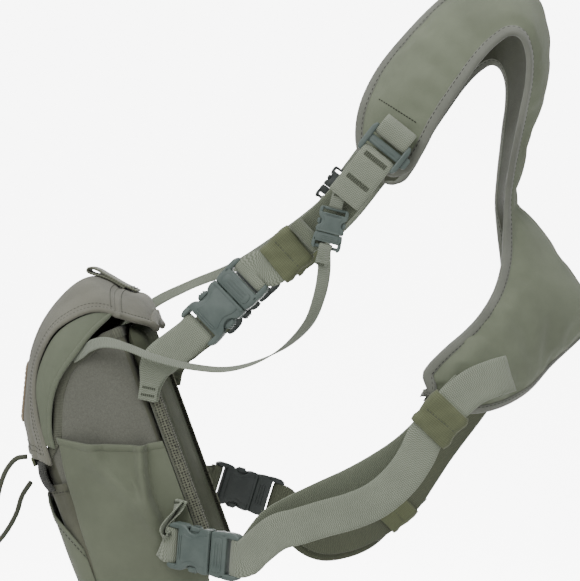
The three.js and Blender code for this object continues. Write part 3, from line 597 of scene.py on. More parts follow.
def plan_line(step=3.0, whole=True):
    """The body's outline from above, with normals: near side, front, far side, and the rear if whole."""
    def arc(cu, cy, radius, a0, a1):
        a = np.radians(np.linspace(a0, a1, max(4, int(abs(a1 - a0) / 90 * radius * 1.57 / step) + 2)))
        return [(cu + radius * math.cos(x), cy + radius * math.sin(x), math.cos(x), math.sin(x)) for x in a]

    def run(u0, y0, u1, y1, nu, ny):
        n = max(2, int(math.hypot(u1 - u0, y1 - y0) / step))
        return [(u0 + (u1 - u0) * k / n, y0 + (y1 - y0) * k / n, nu, ny) for k in range(1, n)]

    fc, rc = FRONT_CORNER, REAR_CORNER
    points = run(REAR - rc + 1, -HALF, FRONT + fc, -HALF, 0, -1) + arc(FRONT + fc, -HALF + fc, fc, 270, 180)
    points += run(FRONT, -HALF + fc, FRONT, HALF - fc, -1, 0) + arc(FRONT + fc, HALF - fc, fc, 180, 90)
    points += run(FRONT + fc, HALF, REAR - rc, HALF, 0, 1)
    if whole:
        points += arc(REAR - rc, HALF - rc, rc, 90, 0) + run(REAR, HALF - rc, REAR, -HALF + rc, 1, 0)
        points += arc(REAR - rc, -HALF + rc, rc, 0, -90)
    return np.array(points)


def wall_grid(inset):
    """Rings of the body from the middle of its floor to the top of its walls."""
    plan = plan_line()
    u, y, nu, ny = plan.T
    top = np.where(nu > 0.7, 200.0, np.interp(u, [p[0] for p in WALL_ARCH], [p[1] for p in WALL_ARCH]))
    round_ = 8 + 14 * np.clip(-nu, 0, 1) + 4 * np.clip(nu, 0, 1)
    rings = []
    for share in (0.03, 0.35, 0.65, 0.88):
        base = np.full(len(u), inset)
        r = np.maximum(round_, inset + 1)
        pu, py = u - nu * r, y - ny * r
        rings.append(np.stack([-55 + (pu + 55) * share, py * share, base], -1))
    for angle in (0, 25, 50, 75):
        a = math.radians(angle)
        r = np.maximum(round_ - inset, 1.0)
        into = inset + r * (1 - math.sin(a))
        rings.append(np.stack([u - nu * into, y - ny * into, inset + r * (1 - math.cos(a))], -1))
    start = np.maximum(round_, inset + 1.2)
    for t in np.linspace(0, 1, 34):
        w = start + (top - start) * t
        swell = 1.6 * np.clip(np.abs(ny), 0, 1) ** 3 * ease((w - 112) / 30) * ease((top - w) / 26)
        swell = swell * ease((u + 100) / 30) * ease((REAR - u) / 22)
        swell = swell + 0.35 * ripple(u * 0.05, y * 0.05, w * 0.05,
                                      seed=3) * ease((w - 20) / 20) * ease((top - w) / 10)
        rings.append(np.stack([u + nu * (swell - inset), y + ny * (swell - inset), w], -1))
    return np.array(rings), plan


def ring_shell(name, outer, inner, kinds, mats, uv):
    """A bowl from rings of points: its outside, its inside and the rim between them."""
    rows, cols = outer.shape[:2]
    n = rows * cols
    verts = np.vstack([outer.reshape(-1, 3), inner.reshape(-1, 3)])
    faces, face_kinds = [], []
    for r in range(rows - 1):
        for c in range(cols):
            d = (c + 1) % cols
            quad = [r * cols + c, r * cols + d, (r + 1) * cols + d, (r + 1) * cols + c]
            faces += [quad[::-1], [k + n for k in quad]]
            face_kinds += [kinds[r][c], len(mats) - 1]
    for c in range(cols):
        d = (c + 1) % cols
        a = (rows - 1) * cols
        faces.append([a + c, a + c + n, a + d + n, a + d][::-1])
        face_kinds.append(len(mats) - 1)
    faces += [list(range(cols)), [n + k for k in range(cols)][::-1]]
    face_kinds += [kinds[0][0], len(mats) - 1]
    return build(name, verts, faces, mats, face_kinds, np.vstack([uv.reshape(-1, 2)] * 2))


def make_body():
    outer, plan = wall_grid(0.0)
    inner, _ = wall_grid(3.6)
    u, ny = plan[:, 0], plan[:, 3]
    kinds = [[1 if r < 8 else (0 if abs(ny[c]) > 0.75 and u[c] > -88 else 2) for c in range(len(u))]
             for r in range(len(outer) - 1)]
    along = lengths(plan[:, :2])
    rise = lengths(outer[:, 5])
    uv = np.stack(np.meshgrid(rise, along, indexing="ij"), -1)
    body = ring_shell("pack_shell", world(outer), world(inner), kinds,
                      [M["heather"], M["smooth"], M["pocket"], M["lining"]], uv)
    place_piece(body, "harness", "foam", "pack_body")
    # bound top edge of the walls
    rim = (outer[-1] + inner[-1]) / 2
    rim = np.vstack([rim, rim[:1]])
    centre = world(rim)
    across = unit(world(np.vstack([outer[-1], outer[-1][:1]])) - centre)
    tangent = unit(np.gradient(centre, axis=0))
    down = unit(np.cross(tangent, across))
    if np.mean(down[:, 2]) > 0:
        down = -down
    tape = [(2.4, 6.5), (2.9, 5.8), (2.9, 0.5), (2.2, -0.9), (0, -1.6), (-2.2, -0.9), (-2.9, 0.5), (-2.9, 5.8),
            (-2.4, 6.5)]
    edge = tube_along("rim_binding", centre, across, down, tape, [M["binding_dark"]])
    place_piece(edge, "harness", "smooth")


make_body()


def back_pad():
    """The padded back: a rounded cushion with a thicker, softly folded band across its top."""
    rows, cols = 56, 44
    half, low, high, corner = 76.5, 4.0, 199.0, 15.0
    t = np.linspace(0, 1, rows)
    s = np.linspace(-1, 1, cols)
    w = low + (high - low) * (t - 0.012 * np.sin(2 * np.pi * t))
    front, back = [], []
    for wi in w:
        near_end = min(wi - low, high - wi)
        pull = corner - math.sqrt(max(corner ** 2 - (corner - min(corner, near_end)) ** 2, 0))
        y = (half - pull) * np.sign(s) * np.abs(s) ** 0.92
        edge_y = (half - pull) - np.abs(y)
        plump = np.minimum(ease(edge_y / 13 + 0.12), ease(near_end / 13 + 0.12))
        band = 4.6 * ease((wi - 157) / 8) * ease((high + 2 - wi) / 12)
        channel = 1.1 * np.exp(-((wi - 156) / 2.2) ** 2) + 0.9 * np.exp(-((np.abs(y) - 44) / 2.4) ** 2) \
            * ease((152 - wi) / 8) * ease((wi - 20) / 10)
        fold = 0.9 * np.sin(y * 0.42 + 1.2 * np.sin(wi * 0.05))
        fold = fold * ease((wi - 164) / 14) * ease((74 - np.abs(y)) / 20)
        hang = FAR_HANG * ease((y + 30) / 106)
        level = np.full(cols, wi)
        raised = 1.9 * plump + band * plump - channel * plump + fold * 0.5
        back.append(np.stack([-5.2 - hang + raised, y, level], -1))
        front.append(np.stack([-5.2 - 4.6 * plump - hang * 0.6, y, level], -1))
    mid = (np.array(front) + np.array(back)) / 2
    thick = np.linalg.norm(np.array(back) - np.array(front), axis=-1) / 2
    normals = np.broadcast_to(world([[1.0, 0, 0]])[0] - world([[0, 0, 0.0]])[0], mid.shape)
    uv = np.stack(np.meshgrid(w, s * half, indexing="ij"), -1)
    # the back panel is drawn in the darkened cloth: painted shade
    pad = sheet("back_panel", world(mid), normals, thick, thick, [M["shaded_back_cloth"]], uv)
    return pad, world(np.array(back)), normals


def puff(obj, pinned, pressure=4.0, cap=6.0, shrink=0.0, frames=20):
    """Swells a closed cloth shape by a short cloth simulation that holds the pinned vertices."""
    scene = bpy.context.scene
    group = obj.vertex_groups.new(name="held")
    group.add([int(i) for i in pinned], 1.0, "REPLACE")
    start = np.array([v.co for v in obj.data.vertices])
    cloth = obj.modifiers.new("cloth", "CLOTH")
    cloth.settings.use_pressure = True
    cloth.settings.uniform_pressure_force = pressure
    cloth.settings.effector_weights.gravity = 0
    cloth.settings.vertex_group_mass = "held"
    cloth.settings.shrink_min = shrink
    cloth.settings.quality = 5
    cloth.settings.bending_stiffness = 2.0
    for number in range(1, frames + 1):
        scene.frame_set(number)
    depsgraph = bpy.context.evaluated_depsgraph_get()
    moved = np.array([v.co for v in obj.evaluated_get(depsgraph).data.vertices])
    step = moved - start
    size = np.linalg.norm(step, axis=1, keepdims=True)
    step *= np.minimum(1, cap * MM / np.maximum(size, 1e-9))
    obj.modifiers.remove(cloth)
    obj.vertex_groups.remove(group)
    scene.frame_set(1)
    obj.data.vertices.foreach_set("co", (start + step).ravel())
    obj.data.update()


def subdivide(obj, levels=1):
    """One smooth subdivision, applied."""
    modifier = obj.modifiers.new("smooth", "SUBSURF")
    modifier.levels = modifier.render_levels = levels
    depsgraph = bpy.context.evaluated_depsgraph_get()
    mesh = bpy.data.meshes.new_from_object(obj.evaluated_get(depsgraph))
    obj.modifiers.remove(modifier)
    old = obj.data
    obj.data = mesh
    mesh.name = obj.name
    bpy.data.meshes.remove(old)


BAND_SEAM = 43                  # the row of the back panel that is sewn down under its top band


def make_back():
    pad, surface, normals = back_pad()
    rows, cols = surface.shape[:2]
    n = rows * cols
    held = [r * cols + c + k * n for k in (0, 1) for r in range(rows) for c in range(cols)
            if r in (0, BAND_SEAM, rows - 1) or c in (0, cols - 1) or k == 1]
    held += list(range(2 * n, len(pad.data.vertices)))
    puff(pad, held, 3.0, 1.3, -0.02)
    co = np.array([v.co for v in pad.data.vertices])[:n].reshape(rows, cols, 3) / MM
    runs = [(co[BAND_SEAM, 2:-2] + normals[0, 0] * 0.1, np.broadcast_to(normals[0, 0], (cols - 4, 3)))]
    for target in (-44.0, 44.0):
        line = np.array([[np.interp(target, co[r, :, 1], co[r, :, k]) for k in range(3)] for r in range(4, 42)])
        runs.append((line, np.broadcast_to(normals[0, 0], line.shape)))
    subdivide(pad)
    place_piece(pad, "harness", "padding", "back_pad")
    stitches("back_panel_stitches", runs, M["thread"], "harness", "padding")
    # perforated trim over each side of the back panel, from the side seam round to its face
    for name, side in SIDES:
        w = np.linspace(9, 158, 60)
        bow = 1.2 * ripple(w * 0.03, seed=5)
        shape = [(-6.8, 78.6), (-5.6, 79.2), (-3.6, 79.3), (-1.8, 78.7), (-0.6, 77.3), (0.0, 75.2)]
        hang = FAR_HANG * (side > 0)
        grid = np.array([[(u - hang, side * (y + 0.12 * b - 3.5 * ease((14 - wi) / 10)), wi) for u, y in shape]
                         for wi, b in zip(w, bow)])
        grid = world(grid)
        normal = grid_normals(grid, world([[-8, 0, 80]])[0])
        trim = sheet(f"mesh_trim_{name}", grid, normal, 0.8, 0.5, [M["mesh"]])
        place_piece(trim, "harness", "padding")
        path, ups = offset_path(grid, normal, -1, 0.9, lift=0.85)
        piping = world([(-7.5 - hang, side * (78.7 - 3.5 * ease((14 - wi) / 10)), wi) for wi in w])
        tangent = unit(np.gradient(piping, axis=0))
        a = unit(np.cross(tangent, [0, side, 0]))
        ring = [(1.1 * math.cos(x), 1.1 * math.sin(x)) for x in np.linspace(0, 2 * math.pi, 9)[:-1]]
        cordlet = tube_along(f"seam_piping_{name}", piping, a, np.cross(tangent, a), ring, [M["binding_dark"]])
        place_piece(cordlet, "harness", "padding")
        stitches(f"trim_stitches_{name}", [(path, ups)], M["thread"], "harness", "padding", 1.8, 1.2, 0.26)


make_back()

# ---- pockets -------------------------------------------------------------------------------------

POCKET_MOUTH = [(-81.5, 139.5), (-66, 130.5), (-48, 122.5), (-34, 117), (-24, 113.5), (-16, 112), (-9.5, 111)]
POCKET_FRONT = [(3, -86.0), (20, -91.3), (36, -91.0), (56, -89.0), (98, -86.5), (115, -85.0), (140, -81.5)]
PLEAT = [(36, -30.0), (55, -31.5), (76, -33.0), (96, -29.5), (114, -23.5)]


def hem_frame(grid, normals):
    """The last row of a grid, with the directions out of its face and down it."""
    top = grid[-1]
    down = unit(grid[-3] - top)
    out = unit(np.cross(unit(np.gradient(top, axis=0)), down))
    if np.sum(out * normals[-1]) < 0:
        out = -out
    return top, out, down


def make_side_pockets():
    mouth, _ = dense_line([(u, w, 0) for u, w in POCKET_MOUTH])
    for name, side in SIDES:
        rows, cols = 44, 64
        grid = np.zeros((rows, cols, 3))
        for c in range(cols):
            s = c / (cols - 1)
            tu = np.interp(s, np.linspace(0, 1, len(mouth)), mouth[:, 0])
            tw = np.interp(tu, mouth[:, 0], mouth[:, 1])
            for r in range(rows):
                t = r / (rows - 1)
                w = 3.0 + (tw - 3.0) * t
                front = np.interp(w, [p[0] for p in POCKET_FRONT], [p[1] for p in POCKET_FRONT])
                rear = -9.3 - 3.0 * ease((14 - w) / 10)
                u = front + (rear - front) * s if t < 1 else tu
                u = u + (tu - u) * ease((t - 0.85) / 0.15) * 0.9
                fold = np.interp(w, [p[0] for p in PLEAT], [p[1] for p in PLEAT])
                depth = ease((w - 30) / 50)
                swell = math.sin(math.pi * min(1, max(0, (u - front) / (rear - front)))) ** 0.55
                stand = (1.0 + 7.0 * swell * ease(t * 2.2)) * (0.55 + 0.45 * t)
                # the front part laps over the rear part at the pleat
                stand -= 8.5 * depth * ease((u - fold) / 3.6) * ease((rear - u) / 9 + 0.3)
                ridge = math.exp(-((u - fold + 3.0) / 4.5) ** 2)
                stand += 5.2 * depth * ridge
                # a broad fold that leans from the mouth's front down to the pleat
                lean = (u - np.interp(w, [45, 85, 113], [-34, -46, -59])) * 0.9
                stand += (4.6 * math.exp(-(lean / 6) ** 2) - 4.4 * ease(lean / 9) * ease((fold - u) / 6)) \
                    * ease((w - 30) / 25)
                # soft drag folds that fan from the pleat's foot and the front seam
                fan = ease((w - 12) / 25) * ease((118 - w) / 40)
                stand += 0.55 * math.sin((u * 0.10 + w * 0.055) * 2.2) * fan
                stand += 0.35 * float(ripple(u * 0.06, w * 0.04, seed=11, octaves=3))
                bottom = 8 - math.sqrt(max(64 - (8 - min(8, w)) ** 2, 0))
                corner = max(0, -82 - u)
                turn = 18 - math.sqrt(max(324 - corner ** 2, 0)) if corner < 18 else 18
                grid[r, c] = (u, side * (78.5 + max(0.4, stand) - bottom - turn), w)
        wgrid = world(grid)
        normal = grid_normals(wgrid, world([[-50, 0, 80]])[0])
        along = np.stack([grid[..., 0], grid[..., 2]], -1)
        pocket = sheet(f"side_pocket_{name}", wgrid, normal, 0.7, 0.5, [M["smooth"], M["lining"], M["smooth"]],
                       along)
        subdivide(pocket)
        place_piece(pocket, "harness", "smooth", f"{name}_side_pocket")
        # turned hem along the mouth
        top, out, down = hem_frame(wgrid, normal)
        hem = tube_along(f"pocket_hem_{name}", top, out, down,
                         [(0.9, -0.5), (1.25, 0.6), (1.1, 4.0), (0.5, 4.6), (-0.7, 4.4), (-1.0, 2.0),
                          (-0.7, -0.4),
                          (0.2, -1.0)], [M["smooth"]])
        place_piece(hem, "harness", "smooth")


make_side_pockets()


def front_wrap(name, ends, mouth, foot, stand, gather, mats, nodes, hem=True, slot="woven"):
    """A pocket that wraps the front of the body between two places on its sides."""
    plan = plan_line(2.2, whole=False)
    u, y, nu, ny = plan.T
    keep = (u <= ends) | (np.abs(y) < 60)
    plan = plan[keep]
    u, y, nu, ny = plan.T
    s = lengths(plan[:, :2])
    x = 2 * s / s[-1] - 1
    rows = 30
    high = np.array([mouth(v) for v in x])
    low = np.full(len(x), float(foot))
    grid = np.zeros((rows, len(x), 3))
    for r in range(rows):
        t = r / (rows - 1)
        w = low + (high - low) * t
        off = np.array([stand(v, t) for v in x])
        off = off + gather * (np.sin(x * 46 + 2.4 * t) * 0.6 + ripple(x * 9, np.full(len(x), t * 2.0),
                                                                      seed=21)) \
            * ease((t - 0.2) / 0.5) * 0.9
        bottom = 20 - np.sqrt(np.maximum(400 - (20 - np.minimum(20, w)) ** 2, 0))
        grid[r] = np.stack([u + nu * (off - bottom * np.abs(nu)), y + ny * off, w], -1)
    wgrid = world(grid)
    normal = grid_normals(wgrid, world([[-50, 0, 80]])[0])
    piece = sheet(name, wgrid, normal, 0.6, 0.5, mats, np.stack(np.broadcast_arrays(s[None], grid[..., 2]), -1))
    place_piece(piece, "harness", slot, *nodes)
    if hem:
        top, out, down = hem_frame(wgrid, normal)
        band = tube_along(name + "_hem", top, out, down,
                          [(0.7, -0.4), (1.1, 0.6), (1.1, 6.2), (0.5, 6.9), (-0.6, 6.6), (-0.9, 2.0),
                           (-0.5, -0.5),
                           (0.2, -0.9)], [mats[0]])
        place_piece(band, "harness", slot)
        line = top + down * 5.2 + out * 1.15
        stitches(name + "_stitches", [(line, out)], M["thread_dark"], "harness", slot, 2.2, 1.2, 0.3)


front_wrap("front_inner_pocket_cloth", -86, lambda x: 108.5 - 2.5 * abs(x) ** 3, 26, lambda x, t: 0.9 + 1.6 * t,
           0.9, [M["pocket"], M["lining"], M["pocket"]], ["front_inner_pocket"])
front_wrap("front_outer_pocket_cloth", -88.5, lambda x: 104 - 48 * abs(x) ** 5, 4,
           lambda x, t: 3.0 + 6.4 * (1 - abs(x) ** 4) * math.sin(min(1, 0.25 + t) * math.pi * 0.55),
           0.25, [M["smooth"], M["lining"], M["smooth"]], ["front_outer_pocket"], True, "smooth")
front_wrap("dark_mesh_band", -93, lambda x: 129.0 - 2 * x * x, 104, lambda x,
           t: 4.2 + 2.6 * math.sin(math.pi * t),
           0.15, [M["mesh_dark"]], [], False, "elastic")

# ---- lid -----------------------------------------------------------------------------------------

LID_CROWN = [(-111, 0, 135), (-109.5, 0, 150), (-108.5, 0, 163), (-101.5, 0, 178), (-80.5, 0, 213.5),
             (-62, 0, 231),
             (-41, 0, 242.5), (-27.5, 0, 244), (-17.5, 0, 237.5), (-7, 0, 226)]
LID_EDGE = [(-93, 0, 123), (-92, 0, 140), (-90, 0, 160), (-85, 0, 180), (-76, 0, 197), (-58, 0, 214),
            (-40, 0, 219),
            (-24, 0, 218.5), (-13, 0, 213), (-7, 0, 207.5)]
TONGUE_CROWN = [(-8, 0, 227.3), (-2, 0, 222), (3.5, 0, 218.6), (7.6, 0, 213.5), (9.4, 0, 205.5), (9.6, 0, 196)]
TONGUE_EDGE = [(-8, 0, 208.5), (-4, 0, 205), (0, 0, 201.7), (6, 0, 197.5), (11, 0, 193.2), (12.8, 0, 189.5)]


def domed(crown, edge, half_from, half_to, rows, cols, squareness=3.0, wrinkle=None):
    """A cloth dome between a middle line and its edge lines, with its normals and the columns' shares."""
    top, side = smooth_line(crown, rows), smooth_line(edge, rows)
    v = np.sin(np.linspace(-1, 1, cols) * math.pi / 2) * 0.35 + np.linspace(-1, 1, cols) * 0.65
    grid = np.zeros((rows, cols, 3))
    for r in range(rows):
        t = r / (rows - 1)
        power = max(3.0, squareness - 6 * t)
        share = (np.abs(v) ** power)[:, None]
        grid[r] = top[r] * (1 - share) + side[r] * share
        grid[r, :, 1] = v * (half_from + (half_to - half_from) * t)
    grid = world(grid)
    normal = grid_normals(grid, world([[-50, 0, 130]])[0])
    if wrinkle is not None:
        t, x = np.meshgrid(np.linspace(0, 1, rows), v, indexing="ij")
        grid = grid + normal * wrinkle(t, x)[..., None]
        normal = grid_normals(grid, world([[-50, 0, 130]])[0])
    return grid, normal, v


def lid_wrinkle(t, x):
    """How far the lid's cloth stands off, for a share t of its length and x of its width."""
    hem = ease((0.16 - t) / 0.16)
    gathered = 0.9 * np.sin(x * 23 + 1.3) * hem * (1 - np.abs(x) ** 6)
    dart = -1.5 * np.exp(-((np.abs(x) - 0.86) / 0.03) ** 2) * ease((0.42 - t) / 0.2)
    drag = 0.5 * np.sin(9 * t + 6 * np.abs(x)) * (1 - np.abs(x) ** 8) * ease(t / 0.2)
    seam = -0.9 * np.exp(-((t - 0.975) / 0.012) ** 2)
    return gathered + dart + drag + seam + 0.55 * ripple(t * 6, x * 4, seed=31,
                                                         octaves=4) * (1 - np.abs(x) ** 10)


def edge_band(name, grid, normal, side, width, thick, mat, slot, body, lift=0.0):
    """Binding folded over one column edge of a grid."""
    g = grid if side < 0 else grid[:, ::-1]
    n = normal if side < 0 else normal[:, ::-1]
    edge = g[:, 0]
    inward = unit(g[:, 2] - g[:, 0])
    up = unit(n[:, 0] - inward * np.sum(n[:, 0] * inward, -1, keepdims=True))
    h = thick / 2 + 0.75
    section = [(width, h - 0.45), (width - 0.5, h), (1.2, h), (-0.2, h * 0.8), (-1.0, 0), (-0.2, -h * 0.8),
               (1.2, -h),
               (width - 0.5, -h), (width, -h + 0.45)]
    band = tube_along(name, edge + up * lift, inward, up, section, [mat])
    place_piece(band, body, slot)


def make_lid():
    grid, normal, v = domed(LID_CROWN, LID_EDGE, 80, 80, 84, 75, 5.0, lid_wrinkle)
    shell = sheet("lid_cloth", grid, normal, 0.9, 1.4, [M["woven"], M["lining"], M["woven"]])
    subdivide(shell)
    place_piece(shell, "lid", "woven", "lid_shell")
    runs = []
    for side in (-1, 1):
        runs.append(offset_path(grid, normal, side, 7.6, slice(3, -2), 0.9))
        edge_band(f"lid_binding_{'left' if side < 0 else 'right'}", grid, normal, side, 4.4, 1.8, M["woven"],
                  "woven", "lid", -0.3)
        runs.append(offset_path(grid, normal, side, 3.2, slice(2, -2), 1.2))
    for row in (3, 5):
        runs.append((grid[row, 3:-3] + normal[row, 3:-3] * 0.95, normal[row, 3:-3]))
    for row in (79, 81):
        runs.append((grid[row, 2:-2] + normal[row, 2:-2] * 0.95, normal[row, 2:-2]))
    stitches("lid_topstitching", runs, M["thread_dark"], "lid", "woven", 1.7, 1.1, 0.24)
    # front hem
    top, under = grid[0], grid[2]
    up = unit(under - top)
    out = normal[0]
    hem = tube_along("lid_hem", top, out, up, [(1.2, -0.3), (1.6, 0.8), (1.5, 5.4), (0.9, 6.2), (-1.6, 6.0),
                                               (-1.9, 1.5), (-1.4, -0.4), (0, -1.0)], [M["woven"]])
    place_piece(hem, "lid", "woven")
    # blank patch on the front
    rows = slice(13, 34)
    cols = np.abs(v) < 0.7
    patch_grid = grid[rows][:, cols] + normal[rows][:, cols] * 1.5
    patch_normal = normal[rows][:, cols]
    patch = sheet("front_patch", patch_grid, patch_normal, 0.7, 0.7, [M["patch"]])
    place_piece(patch, "lid", "woven")
    frame_line = np.vstack([patch_grid[1, 1:-1], patch_grid[1:-1, -2], patch_grid[-2, -2:0:-1],
                            patch_grid[-2:0:-1, 1]])
    frame_up = np.vstack([patch_normal[1, 1:-1], patch_normal[1:-1, -2], patch_normal[-2, -2:0:-1],
                          patch_normal[-2:0:-1, 1]])
    stitches("patch_stitches", [(frame_line + frame_up * 0.75, frame_up)], M["thread_light"], "lid", "woven")

    t_grid, t_normal, _ = domed(TONGUE_CROWN, TONGUE_EDGE, 78.5, 60, 30, 61, 3.0,
                                lambda t, x: 0.5 * ripple(t * 4, x * 4, seed=41) * (1 - np.abs(x) ** 8)
                                + 0.3 * np.sin(x * 9) * ease((t - 0.6) / 0.4) * (1 - np.abs(x) ** 8))
    # the far corner of the tongue sits a little further forward than the near one
    late = ease((np.linspace(0, 1, len(t_grid)) - 0.25) / 0.75)[:, None]
    backwards = np.array([math.cos(TILT), 0, math.sin(TILT)])
    t_grid = t_grid - (9.0 * late * ease((t_grid[..., 1] + 10) / 65))[..., None] * backwards
    tongue = sheet("tongue_cloth", t_grid, t_normal, 1.0, 1.6, [M["woven"], M["lining"], M["woven"]])
    subdivide(tongue)
    place_piece(tongue, "lid", "woven", "lid_tongue")
    runs = []
    for side in (-1, 1):
        runs.append(offset_path(t_grid, t_normal, side, 4.4, slice(1, -3), 1.7))
        edge_band(f"tongue_binding_{'left' if side < 0 else 'right'}", t_grid, t_normal, side, 3.6, 2.6,
                  M["woven"], "woven", "lid", -0.2)
    for row in (24, 2):
        runs.append((t_grid[row, 2:-2] + t_normal[row, 2:-2] * 1.05, t_normal[row, 2:-2]))
    stitches("tongue_topstitching", runs, M["thread_dark"], "lid", "woven", 1.7, 1.1, 0.24)
    end, before = t_grid[-1], t_grid[-3]
    up, out = unit(before - end), t_normal[-1]
    hem = tube_along("tongue_hem", end, out, up, [(2.2, -0.6), (2.8, 1.2), (2.6, 7.0), (1.6, 8.0), (-2.4, 7.6),
                                                  (-2.8, 2.0), (-2.2, -0.8), (0, -1.8)], [M["woven"]])
    place_piece(hem, "lid", "woven")

    for name, side in SIDES:
        upper = smooth_line([(-92, 0, 138), (-88.5, 0, 158), (-84, 0, 178), (-75, 0, 194), (-57, 0, 211),
                             (-40, 0, 216.5), (-24, 0, 216.5), (-12, 0, 212)], 46)
        lower = smooth_line([(-86, 0, 133), (-84.5, 0, 144), (-79, 0, 159), (-72, 0, 171.5), (-62.5, 0, 182),
                             (-50, 0, 191), (-30, 0, 203.5), (-13, 0, 211)], 46)
        g = np.zeros((46, 15, 3))
        for r in range(46):
            k = math.sin(math.pi * r / 45)
            for c in range(15):
                t = c / 14
                p = upper[r] * (1 - t) + lower[r] * t
                roll = 6.2 * t * k * (1 - 0.22 * t * t) + 1.1 * math.sin(math.pi * t) * k
                roll += 0.5 * float(ripple(r * 0.11, t * 1.5, seed=51)) * k
                g[r, c] = (p[0], side * (79.3 + roll), p[2])
        g = world(g)
        n = grid_normals(g, world([[-50, 0, 150]])[0])
        gusset = sheet(f"gusset_{name}", g, n, 0.7, 0.6, [M["gusset"], M["lining"], M["gusset"]])
        subdivide(gusset)
        place_piece(gusset, "lid", "smooth", f"lid_gusset_{name}")
        edge_band(f"gusset_hem_{name}", g, n, 1, 3.0, 1.0, M["gusset"], "smooth", "lid")

    # ribbed pull loop: a doubled tape whose front fold stands up off the lid
    line = smooth_line([(2.0, 0, 222.4), (0.2, 0, 224.2), (-2.4, 0, 226.8), (-6, 0, 230.4), (-15.3, 0, 241.5),
                        (-22.8, 0, 249.8), (-26.8, 0, 251.6), (-28.4, 0, 249.8), (-26.2, 0, 247.0),
                        (-19.5, 0, 242.6), (-13, 0, 236.6), (-6, 0, 227.9)], 90)
    centre = world(line)
    tangent = unit(np.gradient(centre, axis=0))
    cols = np.linspace(-12, 12, 9)
    g = centre[:, None] + np.array([0, 1.0, 0]) * cols[None, :, None]
    n = np.broadcast_to(unit(np.cross(tangent, [0, 1.0, 0]))[:, None], g.shape)
    ribs = 0.22 * (np.abs(np.sin(cols * 1.35)))[None]
    loop = sheet("pull_tape", g, n, 0.75 + ribs, 0.75 + ribs, [M["loop"]])
    place_piece(loop, "lid", "webbing", "lid_pull_loop")
    bars = []
    for r in (3, 6):
        facing = 1 if n[r, 0, 0] > 0 else -1
        bars.append((g[r] + n[r] * 1.15 * facing, n[r] * facing))
    stitches("pull_tape_bartacks", bars, M["thread"], "lid", "webbing", 1.5, 0.5, 0.4)


make_lid()
# the two strips and the cord's sewn tab are shown as they are
for node_name, look in (("back_magnet_bar", "magnet"), ("lid_magnet_bar", "magnet"),
                        ("bungee_anchor", "elastic")):
    node = frame["nodes"][node_name]
    node.data.materials.clear()
    node.data.materials.append(M[look])

# ---- harness padding -----------------------------------------------------------------------------

ARMHOLE = [(-74, -104, -122), (-62, -106, -105), (-50, -109, -82), (-35, -112, -59), (-20, -116, -38),
           (-8, -118, -26), (1, -119, -21), (8, -119, -24), (13, -116, -36), (13, -110, -56), (10, -101, -74),
           (7, -86, -94), (4, -71, -115), (2, -60, -138)]
NECK = [(-103, -92, -114), (-108, -90, -95), (-106, -88, -72), (-94, -84, -45), (-72, -79, -17), (-46, -74, 9),
        (-20, -70, 27), (4, -66, 30), (23, -61, 10), (30, -54, -20), (28, -44, -50), (19, -33, -76),
        (12, -17, -104),
        (7, -1, -139)]
YOKE_ARMHOLE = {
    "left": [(0, -64, -162), (-2, -76, -182), (-9, -92, -203), (-21, -107, -221), (-32, -115, -232),
             (-42, -122, -240), (-50, -128, -247), (-57, -132, -254), (-62, -134.5, -262), (-62, -135, -270)],
    "right": [(4, 66, -162), (7, 76, -183), (9, 88, -205), (6, 98, -226), (1, 106, -241), (-4, 112, -253),
              (-8, 116, -263), (-11, 119, -271), (-13, 121, -279), (-13, 122, -286)],
}
YOKE_LOWER = {
    "left": [(24, 0, -159), (43, 0, -185), (62, 0, -212), (72, -0.5, -227), (62, -17, -237), (35, -50, -258),
             (13, -82, -277), (-14, -108, -287), (-38, -124, -287), (-54, -131, -281)],
    "right": [(24, 0, -159), (43, 0, -185), (62, 0, -212), (72, 0.5, -227), (61, 17, -236), (43, 45, -254),
              (28, 72, -274), (14, 95, -288), (0, 112, -296), (-9, 119, -294)],
}
TORSO = np.array([-60.0, 0.0, -160.0])
BOUND = 6.6                     # how far the binding reaches in from the edge


def rail(first, second, spots_first, spots_second):
    """A smooth line through both lists, sampled at shares of each one's own length."""
    line, place = dense_line(list(first) + list(second))
    cut = int(np.searchsorted(place, len(first) - 1))
    a, b = line[:cut + 1], line[cut:]
    return np.vstack([sample(a, spots_first * lengths(a)[-1]), sample(b, spots_second * lengths(b)[-1])[1:]])


def end_spots(count, start=False, finish=False):
    """Even shares from 0 to 1, crowded towards an end that has rounded corners."""
    t = np.linspace(0, 1, count)
    if start:
        t = np.concatenate([np.array([0, 0.002, 0.006, 0.013, 0.022, 0.033]), t[2:]])
    if finish:
        t = np.concatenate([t[:-2], 1 - np.array([0.05, 0.034, 0.021, 0.011, 0.004, 0])])
    return np.unique(t)


